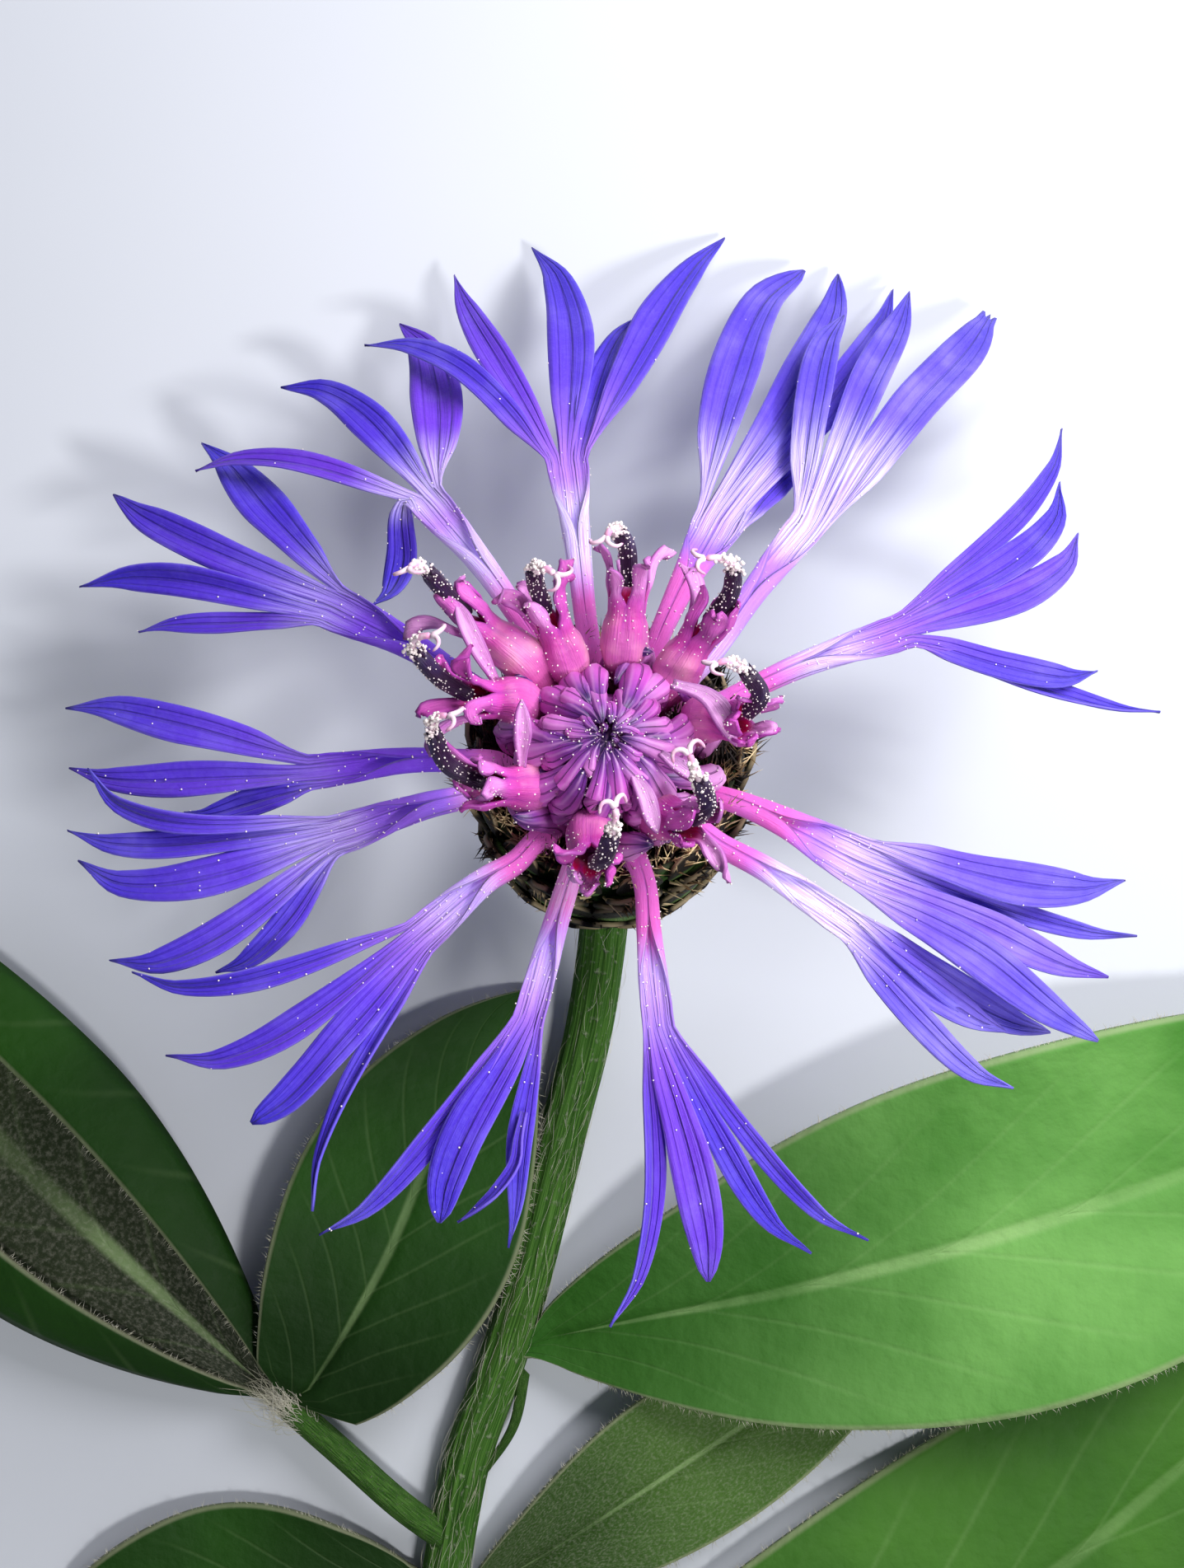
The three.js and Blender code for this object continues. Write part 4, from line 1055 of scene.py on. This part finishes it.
def bud_finish():
    """Magenta buds with dark seams and dark violet tips, paler on the side towards the light."""
    finish = Finish("bud_magenta")
    tone = colours()
    across, along = finish.marks()
    luck = finish.chance(across.whole())
    mottle = finish.noise(1100.0, 4.0)
    finish.colour = finish.ramp(along + (mottle - 0.5) * 0.12, [
        (0.0, "#c052a2"), (0.3, "#cc5cbc"), (0.6, tone.bud), (0.82, "#80309c"),
        (0.95, tone.bud_tip)])
    spot = finish.node("ShaderNodeSeparateXYZ", None, {0: finish.place()})
    right = Amount(finish, spot.outputs[0]) - Amount(finish, spot.outputs[1]) * 0.6
    lit = right.step(-0.0235, -0.0165)
    pale = (luck * 0.35 + lit * 0.75) * along.step(0.95, 0.7)
    finish.cover(pale, tone.bud_pale)
    grooves = ((across.part() * 5 + 0.5).part() - 0.5).size()
    seams = grooves.step(0.08, 0.02)
    finish.cover(seams * 0.6, "#5c1a70")
    finish.cover(grooves.step(0.3, 0.5) * 0.3, tone.bud_pale)
    relief = finish.relief(mottle * 0.6 - seams, 0.0001)
    return finish.set(Roughness=0.34 + mottle * 0.2, Normal=relief,
                      Coat_Weight=0.1, Coat_Roughness=0.35)


class CORNFLOWER_OT_closed_buds(bpy.types.Operator):
    """Closed buds that lean together over the middle of the head"""

    bl_idname = "cornflower.closed_buds"
    bl_label = "Closed buds"

    def execute(self, context):
        make_buds(bud_finish())
        return {"FINISHED"}


# ---- involucre --------------------------------------------------------------

CUP_OUTLINE = Way([(2, 0, -14), (3.9, 0, -12.6), (6.3, 0, -9.6), (7.3, 0, -5.8), (7.2, 0, -2),
                   (7.65, 0, 1.8)])
SCALE_OUTLINE = Way([(2, 0, -14), (3.9, 0, -12.6), (6.3, 0, -9.6), (7.3, 0, -5.8), (7.25, 0, -2),
                     (7.7, 0, 1.2), (7.35, 0, 2.7)])
# count, foot and tip as shares of the outline, half width, how far the tip stands off, teeth.
SCALE_ROWS = [
    dict(count=8, foot=0.08, tip=0.3, half=1.9, flare=0.5, teeth=9),
    dict(count=10, foot=0.18, tip=0.44, half=2.2, flare=0.75, teeth=11),
    dict(count=11, foot=0.31, tip=0.58, half=2.35, flare=0.85, teeth=13),
    dict(count=12, foot=0.45, tip=0.72, half=2.1, flare=0.8, teeth=15),
    dict(count=12, foot=0.58, tip=0.85, half=1.9, flare=1.15, teeth=17),
    dict(count=12, foot=0.7, tip=0.94, half=1.6, flare=1.2, teeth=17),
    dict(count=14, foot=0.8, tip=0.995, half=1.35, flare=0.35, teeth=15),
]
RIM_BRISTLES = 620


def make_cup(finish):
    mesh = new_mesh()
    outside = [CUP_OUTLINE.at(share / 12) for share in range(13)]
    inside = [(7.3, 0, 1.7), (7.25, 0, 0.3), (6.9, 0, 0), (0.001, 0, 0)]
    turned(mesh, Way([(0.001, 0, -14), *outside, *inside]), 48, 56)
    return finish_piece(mesh, "cup", HEAD, [finish], ["involucre"])


def scales():
    """The level, row and bearing of every scale."""
    for level, row in enumerate(SCALE_ROWS):
        for count in range(row["count"]):
            yield level, row, 360 * (count + 0.5 * (level % 2)) / row["count"] + 17 * level


def scale_spot(row, bearing, s, u):
    """A point of a scale, the way out of it and the way along it."""
    share = lerp(row["foot"], row["tip"], s)
    spot, slope, _, _ = SCALE_OUTLINE.stand(share, Vector((0, 1, 0)))
    wide = lerp(0.75, 1, s * 2) if s < 0.5 else max(0.05, 1 - (2 * s - 1) ** 2.2) ** 0.6
    angle = bearing + math.degrees(u * row["half"] * wide / spot.x)
    out = polar(angle, slope.z, -slope.x)
    lift = lerp(0.12, row["flare"], s ** 1.6) - 0.1 * u * u
    return polar(angle, spot.x, spot.z) + out * lift, out, polar(angle, slope.x, slope.z)


def make_scales(finishes):
    mesh = new_mesh()
    luck = random.Random(17)
    for number, (_, row, bearing) in enumerate(scales()):
        bearing += luck.uniform(-3, 3)
        strip(mesh, 8, 9, lambda s, u: scale_spot(row, bearing, s, -u)[0],
              lambda s, u: (number + (u + 1) / 2, s))
    return finish_piece(mesh, "scales", HEAD, finishes, (),
                        sizes().scale_thickness, -1, closed=False)


def make_fringe(finish):
    """The comb of teeth along the edge of every scale, and the bristles that stand on the rim."""
    mesh = new_mesh()
    luck = random.Random(23)
    for level, row, bearing in scales():
        wild = 0.1 + 0.12 * level
        for tooth in range(row["teeth"]):
            turn = lerp(-1, 1, tooth / (row["teeth"] - 1))
            s = 1 - 0.42 * abs(turn) ** 1.4
            u = math.copysign(min(1, abs(turn) ** 0.8), turn) * 0.97
            spot, out, along = scale_spot(row, bearing, s, u)
            aside = turn * 0.8 + luck.uniform(-0.3, 0.3)
            lead = along * (1 - 0.55 * abs(turn)) - along.cross(out) * aside
            lead += out * luck.uniform(-0.1, 0.3 + wild)
            length = luck.uniform(0.7, 1.4) * (0.75 + 0.2 * level)
            spike(mesh, spot - lead * 0.1, lead.normalized() * length, luck.uniform(0.07, 0.12), 4)
    for _ in range(RIM_BRISTLES):
        bearing = luck.uniform(0, 360)
        reach = luck.uniform(6.6, 7.5)
        foot = polar(bearing, reach, luck.uniform(1.2, 1.9))
        turn, out = luck.uniform(-9, 9), luck.uniform(-0.5, 1.3)
        tip = polar(bearing + turn, reach + out, luck.uniform(2.5, 3.8))
        spike(mesh, foot, tip - foot, luck.uniform(0.06, 0.1), 4)
    return finish_piece(mesh, "fringe", HEAD, [finish])


def make_bristles(finish):
    """The bristles of the receptacle, which fill the cup between the florets."""
    mesh = new_mesh()
    luck = random.Random(29)
    for _ in range(sizes().bristles):
        bearing = luck.uniform(0, 360)
        reach = 7.1 * math.sqrt(luck.uniform(0.2, 1))
        foot = polar(bearing, reach, 0.05)
        turn, out = luck.uniform(-6, 6), luck.uniform(0.94, 1.06)
        tip = polar(bearing + turn, reach * out, luck.uniform(2, 4.2))
        spike(mesh, foot, tip - foot, 0.1)
    return finish_piece(mesh, "bristles", HEAD, [finish])


def cup_finish():
    finish = Finish("cup_green", colours().scale)
    _, along = finish.marks()
    mottle = finish.noise(600.0, 4.0)
    finish.cover(mottle.step(0.35, 0.7), "#2f4a1d")
    finish.cover(along.step(0.62, 0.7) * 0.9, "#1c100e")
    return finish.set(Roughness=0.7 + mottle * 0.2, Normal=finish.relief(mottle, 0.0002))


def scale_finish():
    """Green scale with fine lines and a black-brown edge."""
    tone = colours()
    finish = Finish("scale_green", tone.scale)
    across, along = finish.marks()
    side = (across.part() - 0.5).size() * 2
    mottle = finish.noise(900.0, 4.0)
    lines = finish.noise(2.0, 2.0, over=(across * 30, along * 1.5))
    finish.cover(lines.step(0.35, 0.7), "#7a9a50")
    rim = along + side ** 3 * 0.35 + (mottle - 0.5) * 0.2
    finish.cover(rim.step(0.5, 0.72), tone.scale_edge)
    finish.cover(rim.step(1.05, 1.25) * 0.4, tone.fringe)
    relief = finish.relief(lines + mottle * 0.5, 0.00015)
    return finish.set(Roughness=0.6 + mottle * 0.25, Normal=relief)


def dry_finish(name, scale, detail, stops):
    finish = Finish(name)
    cloud = finish.noise(scale, detail)
    finish.colour = finish.ramp(cloud, stops)
    return finish.set(Roughness=0.75 + cloud * 0.15, Normal=finish.relief(cloud, 0.00005))


class CORNFLOWER_OT_involucre(bpy.types.Operator):
    """The cup under the head, with its overlapping fringed scales"""

    bl_idname = "cornflower.involucre"
    bl_label = "Involucre"

    def execute(self, context):
        make_cup(cup_finish())
        make_scales([scale_finish()])
        make_fringe(dry_finish("fringe_straw", 300.0, 4.0, [
            (0.42, "#17100b"), (0.5, "#6e5430"), (0.57, colours().fringe)]))
        make_bristles(dry_finish("bristle_brown", 700.0, 3.0, [
            (0.4, "#1c100e"), (0.56, "#4a2c26"), (0.75, "#8a6a52")]))
        return {"FINISHED"}


# ---- stem -------------------------------------------------------------------

STEM_RADIUS = 1.6
STEM_LEVEL = 1.76
STEM_WAY = Way([
    (-18.6, -112, STEM_LEVEL), (-16, -94, STEM_LEVEL), (-13.4, -72, STEM_LEVEL),
    (-10.2, -50.2, STEM_LEVEL), (-7.3, -41.5, STEM_LEVEL), (-5.6, -36, STEM_LEVEL),
    (-2.9, -25, STEM_LEVEL + 0.1), (-1.3, -18.6, STEM_LEVEL + 0.6),
    (-0.4, -12.8, STEM_LEVEL + 2.5), (0, -8.2, STEM_LEVEL + 5.2),
    HEAD_ON_PLANT @ Vector((0, 0, -16.2)), HEAD_ON_PLANT @ Vector((0, 0, -13))])
SHOOT_WAY = Way([(-10.9, -54.4, STEM_LEVEL + 0.4), (-14.4, -51.6, 2.9), (-18.6, -47.9, 2.8),
                 (-23, -44.2, 2.4)])
# top and foot of each wing, and the side of the stem that it stands on
WINGS = [((-7.3, -41.8), (-9.8, -49.6), 1), ((-12, -61.4), (-13, -69), -1),
         ((-14.4, -81.6), (-15.6, -91), 1)]


def make_stem(finishes):
    mesh = new_mesh()
    rod(mesh, STEM_WAY, lambda s: lerp(1.72, 1.66, s) + 0.3 * smooth(s, 0.97, 1), 40, 150,
        lean=-LEFT, ribs=10, depth=0.14)
    rod(mesh, SHOOT_WAY, lambda s: 1.02, 20, 24, lean=LEFT, ribs=7, depth=0.1)
    for (x0, y0), (x1, y1), turn in WINGS:
        top, foot = Vector((x0, y0, STEM_LEVEL)), Vector((x1, y1, STEM_LEVEL))
        along = (foot - top).normalized()
        out = along.cross(UP) * -turn
        middle = top.lerp(foot, 0.5) + out * (STEM_RADIUS + 0.5)
        wing = Way([top + out * STEM_RADIUS, middle, foot + out])
        rod(mesh, wing, lambda s: 0.42 * (1.1 - s * 0.5), 10, 24)
    bare = len(mesh.faces)
    luck = random.Random(31)
    for _ in range(sizes().stem_hairs):
        s = luck.uniform(0.02, 0.985)
        angle = luck.uniform(0.05, math.pi - 0.05) if s < 0.8 else luck.uniform(0, 2 * math.pi)
        run = luck.uniform(0.012, 0.03) * luck.choice((-1, 1))
        sweep = luck.uniform(-0.5, 0.5)
        rise = luck.uniform(0.08, 0.3)
        points = []
        for share in (0, 1 / 3, 2 / 3, 1):
            place = min(0.985, max(0.01, s + run * share))
            centre, _, side, normal = STEM_WAY.stand(place, lean=-LEFT)
            reach = 1.7 + rise * math.sin(math.pi * share)
            here = angle + sweep * share * share
            points.append(centre + (side * math.cos(here) + normal * math.sin(here)) * reach)
        strand(mesh, points, 0.012)
    mark_faces(mesh, bare, 1)
    return finish_piece(mesh, "stalk", PLANT, finishes, ["stem"])


def stem_finish():
    tone = colours()
    finish = Finish("stem_green", tone.stem)
    across, along = finish.marks()
    mottle = finish.noise(260.0, 4.0)
    lines = finish.noise(2.0, 3.0, over=(across * 40, along * 6))
    finish.cover(lines.step(0.35, 0.7), "#517c32")
    finish.cover(mottle.step(0.5, 0.75) * 0.5, "#24480f")
    cobweb = finish.noise(3.0, 4.0, over=(across * 9, along * 60)).step(0.55, 0.75)
    finish.cover(cobweb * 0.25, tone.hair)
    return finish.set(Roughness=0.62 + mottle * 0.2, Specular_IOR_Level=0.2,
                      Normal=finish.relief(lines + cobweb * 0.5, 0.0002))


def hair_finish():
    finish = Finish("hair_white", colours().hair)
    cloud = finish.noise(300.0, 2.0)
    finish.cover(cloud.step(0.3, 0.7), "#b9b79f")
    return finish.set(Roughness=0.7 + cloud * 0.2, Normal=finish.relief(cloud, 0.00002))


class CORNFLOWER_OT_stem(bpy.types.Operator):
    """The ribbed and winged stem with its side shoot and long hairs"""

    bl_idname = "cornflower.stem"
    bl_label = "Stem"

    def execute(self, context):
        make_stem([stem_finish(), hair_finish()])
        return {"FINISHED"}


# ---- leaves -----------------------------------------------------------------

# ribs: points of the midrib. width: half width where widest. belly: where that is. base: share of
# it at the foot. cup: height of the edges over the midrib. wave: height of the wave along the
# edges. joint: where the foot of the leaf runs into the stem.
# tone: which copy of the leaf colours the leaf gets; sunlit, shaded and deep are lighter and
# darker copies, painted light and painted shade.
LEAVES = [
    dict(name="leaf_right_upper", joint=(-6.4, -41, 1.9), ribs=[
        (-3.7, -39.9, 2.4), (3, -38, 4.6), (13, -35.6, 6.2), (27, -31.8, 6.8), (42, -27, 5.6),
        (57, -22, 3.2), (71, -17.6, 0.9)],
        width=12, belly=0.42, base=0.17, cup=1.2, wave=0.5, waves=2.5, tone="sunlit"),
    dict(name="leaf_right_middle", joint=(-11, -58.6, 1.8), ribs=[
        (-8.7, -58, 2), (-3, -54.4, 2.6), (6, -48.4, 2.9), (15, -42.6, 2.4), (25, -36.4, 1.2)],
        width=5.6, belly=0.45, base=0.22, cup=0.5, wave=0.2, waves=2, under=True,
        tone="shaded"),
    dict(name="leaf_right_lower", joint=(-14, -79.6, 1.8), ribs=[
        (-11.3, -78.6, 2), (-3, -75.6, 2.8), (8, -70.6, 3), (20, -64.4, 2.4), (32, -56.6, 1.6),
        (42, -48.6, 1), (52, -40.4, 0.8), (60, -32.6, 0.7)],
        width=13, belly=0.45, base=0.14, cup=-0.3, wave=0.3, waves=3, tone="shaded"),
    dict(name="leaf_left_lower", joint=(-11.6, -57.6, 1.8), ribs=[
        (-13.8, -57.8, 1.2), (-18, -58.4, 1.3), (-25, -59.8, 1.5), (-33, -62.4, 1.4),
        (-43, -67, 0.8)],
        width=8.4, belly=0.45, base=0.18, cup=0.6, wave=0.5, waves=2, tone="deep"),
    dict(name="shoot_leaf_broad", joint=(-22.6, -44.4, 2.6), ribs=[
        (-20.8, -43.2, 3.9), (-18.4, -39.4, 4.6), (-15.2, -33.6, 4.6), (-12.3, -26.8, 3.6),
        (-8.8, -20.6, 2.2), (-5, -15.4, 1)],
        width=8.3, belly=0.42, base=0.5, cup=0.7, wave=0.4, waves=1.5, tone="deep"),
    dict(name="shoot_leaf_rolled", joint=(-23, -44.1, 2.4), ribs=[
        (-25.2, -42.4, 2.4), (-29.4, -38.2, 3.6), (-38, -30, 4.2), (-47, -21.2, 3.6),
        (-56, -12, 2.2), (-66, -1, 0.7)],
        width=9.5, belly=0.4, base=0.2, cup=2.4, wave=0.3, waves=2, rolled=True,
        tone="deep"),
]
# How much of the mesh of a leaf is the foot that runs into the stem, before the blade begins.
FOOT_SHARE = 0.06
SHOOT_WOOL = 300


def lance(s, belly, base):
    """Half width of a lance-shaped leaf, as a share of the widest."""
    if s < belly:
        return lerp(base, 1, math.sin(math.pi / 2 * s / belly) ** 0.9)
    return max(0.02, math.cos(math.pi / 2 * (s - belly) / (1 - belly)) ** 0.85)


class Blade:
    """A leaf blade: a point of it at a share s along and u across, and the ways at that point."""

    def __init__(self, leaf):
        self.leaf = leaf
        self.way = Way(leaf["ribs"])

    def spot(self, s, u):
        leaf = self.leaf
        centre, _, side, normal = self.way.stand(s)
        share = lance(s, leaf["belly"], leaf["base"])
        reach = leaf["width"] * share
        if leaf.get("rolled"):
            return self.rolled(centre, side, normal, u, reach, share)
        wave = leaf["wave"] * math.sin(2 * math.pi * leaf["waves"] * s)
        rise = share * u * u * (leaf["cup"] + wave)
        rib = -0.5 * (1 - 0.7 * s) * math.exp(-(u * reach / 0.5) ** 2)
        veins = -0.02 * self.vein(s, u) * share
        return centre + side * u * reach + normal * (rise + rib + veins)

    def rolled(self, centre, side, normal, u, reach, share):
        """The blade turned underside up, its two edges rolled back over it."""
        fold = 0.62
        size = abs(u)
        if size < fold:
            x, z = size / fold, 0.5 * share * (size / fold) ** 2
        else:
            past = (size - fold) / (1 - fold)
            x = 1 - 0.5 * past - 0.06 * math.sin(math.pi * past)
            z = share * (0.5 + 1.9 * math.sin(past * math.pi * 0.5) ** 0.8)
        rib = -0.3 * math.exp(-(u * 9) ** 2)
        return centre + side * math.copysign(x, u) * reach + normal * (z + rib)

    def vein(self, s, u):
        """1 on a side vein and 0 away from it. The veins leave the midrib slanting to the tip."""
        place = (s - 0.3 * abs(u) ** 0.8) * 9
        return max(0, 1 - abs(place % 1 - 0.5) * 9) * (1 - abs(u)) ** 0.4


def make_leaf(leaf, finishes):
    mesh = new_mesh()
    blade = Blade(leaf)
    foot = Vector(leaf["joint"])
    centre, _, side, normal = blade.way.stand(0)

    def place(s, u):
        if s >= FOOT_SHARE:
            return blade.spot((s - FOOT_SHARE) / (1 - FOOT_SHARE), u)
        share = s / FOOT_SHARE
        narrow = foot + side * u * 0.8 + normal * 0.5 * (u * u - 0.5)
        wide = blade.spot(0, u)
        middle = centre + (wide - centre) * math.sin(math.pi / 2 * share) ** 0.8
        return narrow.lerp(foot.lerp(middle, share), math.sin(math.pi / 2 * share))

    strip(mesh, 36, 100, place)
    return finish_piece(mesh, leaf["name"].replace("leaf", "blade"), PLANT, finishes,
                        [leaf["name"]], sizes().leaf_thickness, back=1, closed=False)


def make_leaf_hairs(finish):
    """Short hairs along the edges of every leaf and cobwebby hairs on the undersides that show."""
    mesh = new_mesh()
    luck = random.Random(61)
    for leaf in LEAVES:
        blade = Blade(leaf)
        for _ in range(int(blade.way.length * 2 * sizes().leaf_hairs)):
            s = luck.uniform(0.02, 0.98)
            edge = luck.choice((-1, 1))
            spot = blade.spot(s, edge)
            out = (spot - blade.spot(s, edge * 0.9)).normalized()
            ahead = (blade.spot(s + 0.01, edge) - spot).normalized()
            lead = out + ahead * luck.uniform(-0.7, 1) + UP * luck.uniform(-0.1, 0.5)
            spike(mesh, spot - out * 0.1, lead.normalized() * luck.uniform(0.3, 0.85), 0.03)
    for _ in range(SHOOT_WOOL):
        spot = SHOOT_WAY.at(luck.uniform(0.86, 1))
        spot += Vector((luck.gauss(0, 0.6), luck.gauss(0, 0.6), 0.7))
        way = Vector((luck.gauss(-0.9, 0.5), luck.gauss(0.9, 0.5), luck.uniform(-0.2, 0.5)))
        turn = Vector((luck.gauss(0, 0.4), luck.gauss(0, 0.4), luck.gauss(0, 0.3)))
        strand(mesh, [spot, spot + way * 0.6 + turn, spot + way * 1.5], 0.02)
    return finish_piece(mesh, "leaf_hairs", PLANT, [finish])


def leaf_finish(name, base, light, webbed):
    finish = Finish(name, base)
    across, along = finish.marks()
    side = (across - 0.5).size() * 2
    mottle = finish.noise(70.0, 4.0)
    cells = finish.noise(900.0, 3.0)
    finish.cover(mottle.step(0.25, 0.75) * 0.8 + 0.1, light)
    finish.cover(along.step(0.5, 0.12) * 0.75, tuple(part * 0.5 for part in base))
    slant = (along - (side ** 0.8) * 0.3) * 9
    veins = ((slant.part() - 0.5).size() * 2).step(0.16, 0.0) * side.step(1.0, 0.55)
    finish.cover(veins * mottle * 0.1, "#a9c98a")
    rib = side.step(0.07, 0.02) * along.step(1.0, 0.2)
    finish.cover(rib * mottle.step(0.25, 0.7) * 0.45, "#a8c888")
    rim = side.step(0.955, 0.99)
    finish.cover(rim * 0.35, "#b5b896")
    if webbed:
        web = finish.noise(5.0, 6.0, 0.7, over=(across * 14, along * 30)).step(0.42, 0.75)
        finish.cover(web * 0.16, colours().hair)
    relief = finish.relief(cells + mottle * 0.5 - veins * 0.2, 0.00015)
    return finish.set(Roughness=0.55 + cells * 0.2, Normal=relief, Specular_IOR_Level=0.2)


class CORNFLOWER_OT_leaves(bpy.types.Operator):
    """The leaves, with their veins, pale edges and hairs"""

    bl_idname = "cornflower.leaves"
    bl_label = "Leaves"

    def execute(self, context):
        tone = colours()
        # Painted light and shade: lighter and darker copies of the leaf finish, sunlit for the
        # leaf in the light, shaded and deep for the leaves in shade.
        finishes = {
            "sunlit": [leaf_finish("leaf_sunlit", tone.leaf, tone.leaf_light, False),
                       leaf_finish("leaf_sunlit_back", tone.leaf_back, paint("#8aa56a"), True)],
            "shaded": [leaf_finish("leaf_shaded", paint("#1f4f0c"), paint("#427423"), False),
                       leaf_finish("leaf_shaded_back", paint("#2c4c14"), paint("#466a26"), True)],
            "deep": [leaf_finish("leaf_deep", paint("#123605"), paint("#245210"), False),
                     leaf_finish("leaf_deep_back", paint("#1e2a14"), paint("#343f26"), True)],
        }
        for leaf in LEAVES:
            face, back = finishes[leaf["tone"]]
            underside_up = leaf.get("rolled") or leaf.get("under")
            make_leaf(leaf, [back, face] if underside_up else [face, back])
        make_leaf_hairs(hair_finish())
        return {"FINISHED"}


# ---- pollen -----------------------------------------------------------------


# For the pieces that pollen lies on: how thick it lies, how wide it spreads from the middle of the
# head and how far the grains stand off.
POLLEN = {
    "ray": (2, 8, 0.0001),
    "disc": (2, 6, 0.0001),
    "anther": (3, 6, 0.00004),
    "buds": (0.5, 6, 0.00004),
}
POLLEN_ASIDE = 0.00004
BATCH = 200


def make_pollen(finish):
    """Grains scattered over the florets, thickest near the middle of the head."""
    mesh = new_mesh()
    luck = random.Random(83)
    spots = []
    for piece in bpy.context.scene.objects:
        kind = piece.name.split("_")[0]
        if kind not in POLLEN or "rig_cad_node" in piece:
            continue
        weight, spread, rise = POLLEN[kind]
        for corner in piece.data.vertices:
            far = (corner.co - HEAD.translation).length / MM
            if luck.random() < weight * math.exp(-max(0, far - 7) / spread):
                spots.append((corner.co.copy(), corner.normal * rise))
    count = min(len(spots), sizes().grains)
    chosen = luck.sample(spots, count)
    for first in range(0, count, BATCH):
        batch = bmesh.new()  # a small mesh at a time, which is much quicker
        for place, normal in chosen[first:first + BATCH]:
            out = normal if normal.z > 0 else -normal
            aside = Vector([luck.uniform(-1, 1) for _ in range(3)]) * POLLEN_ASIDE
            grain(batch, place + out + aside, sizes().grain * luck.uniform(0.6, 1.25))
        add_batch(mesh, batch)
    return finish_piece(mesh, "pollen_grains", Matrix.Identity(4), [finish])


class CORNFLOWER_OT_pollen(bpy.types.Operator):
    """Grains of pollen on the florets"""

    bl_idname = "cornflower.pollen"
    bl_label = "Pollen"

    def execute(self, context):
        make_pollen(pollen_finish())
        return {"FINISHED"}


# ---- stage ------------------------------------------------------------------

FLOOR_HALF = 1.5
CAMERA_PLACE = Vector((-3.48, 36.27, 156.15)) * MM
LIGHTS = [
    dict(name="key", place=(0.1, -0.07, 0.28), aim=(0, 0.03, 0.01), size=0.04, power=0.43,
         colour=(1, 0.985, 0.96)),
    dict(name="window", place=(0.095, 0.135, 0.135), aim=(0.035, 0.06, 0), size=0.13, power=0.48,
         colour=(1, 0.98, 1)),
]
ROOM_COLOUR = (0.84, 0.92, 0.98, 1)
ROOM_STRENGTH = 0.16


def area_light(name, place, aim, size, power, colour):
    lamp = bpy.data.lights.new(name, "AREA")
    lamp.shape = "DISK"
    lamp.size = size
    lamp.energy = power
    lamp.color = colour
    light = add_object(name, lamp)
    light.location = place
    light.rotation_euler = (Vector(aim) - Vector(place)).to_track_quat("-Z", "Y").to_euler()


def floor_finish():
    finish = Finish("floor_pale", colours().floor)
    cloud = finish.noise(14.0, 3.0)
    finish.cover(cloud.step(0.3, 0.8) * 0.3, "#c2cad4")
    return finish.set(Roughness=0.75 + cloud * 0.1)


class CORNFLOWER_OT_stage(bpy.types.Operator):
    """The pale floor, the soft lights and the camera"""

    bl_idname = "cornflower.stage"
    bl_label = "Stage"

    def execute(self, context):
        scene = context.scene
        mesh = new_mesh()
        bmesh.ops.create_grid(mesh, x_segments=1, y_segments=1, size=FLOOR_HALF)
        floor = mesh_object("floor", mesh)
        floor.data.materials.append(floor_finish())

        for light in LIGHTS:
            area_light(**light)
        scene.world = bpy.data.worlds.new("room")
        scene.world.use_nodes = True
        room = scene.world.node_tree.nodes["Background"].inputs
        room["Color"].default_value = ROOM_COLOUR
        room["Strength"].default_value = ROOM_STRENGTH
        scene.view_settings.view_transform = "Standard"

        lens = bpy.data.cameras.new("camera")
        lens.lens = 50
        lens.sensor_width = 36
        lens.clip_start = 0.005
        lens.clip_end = 10
        scene.camera = add_object("camera", lens)
        scene.camera.location = CAMERA_PLACE
        return {"FINISHED"}


# ---- add-on -----------------------------------------------------------------


class CORNFLOWER_PT_panel(bpy.types.Panel):
    """Makes the flower, part by part"""

    bl_idname = "CORNFLOWER_PT_panel"
    bl_label = "Mountain cornflower"
    bl_space_type = "VIEW_3D"
    bl_region_type = "UI"
    bl_category = "Cornflower"

    def draw(self, context):
        layout = self.layout
        for group in (context.scene.cornflower_sizes, context.scene.cornflower_colours):
            column = layout.column()
            for name in group.__annotations__:
                column.prop(group, name)
        for maker in MAKERS:
            layout.operator(maker.bl_idname)


MAKERS = [
    CORNFLOWER_OT_ray_florets,
    CORNFLOWER_OT_disc_florets,
    CORNFLOWER_OT_anthers,
    CORNFLOWER_OT_closed_buds,
    CORNFLOWER_OT_involucre,
    CORNFLOWER_OT_stem,
    CORNFLOWER_OT_leaves,
    CORNFLOWER_OT_pollen,
    CORNFLOWER_OT_stage,
]
CLASSES = [CornflowerSizes, CornflowerColours, *MAKERS, CORNFLOWER_PT_panel]


def register():
    for kind in CLASSES:
        bpy.utils.register_class(kind)
    bpy.types.Scene.cornflower_sizes = PointerProperty(type=CornflowerSizes)
    bpy.types.Scene.cornflower_colours = PointerProperty(type=CornflowerColours)


def unregister():
    del bpy.types.Scene.cornflower_colours
    del bpy.types.Scene.cornflower_sizes
    for kind in reversed(CLASSES):
        bpy.utils.unregister_class(kind)


def main():
    register()
    bpy.ops.cornflower.ray_florets()
    bpy.ops.cornflower.disc_florets()
    bpy.ops.cornflower.anthers()
    bpy.ops.cornflower.closed_buds()
    bpy.ops.cornflower.involucre()
    bpy.ops.cornflower.stem()
    bpy.ops.cornflower.leaves()
    bpy.ops.cornflower.pollen()
    bpy.ops.cornflower.stage()


if __name__ == "__main__":
    main()
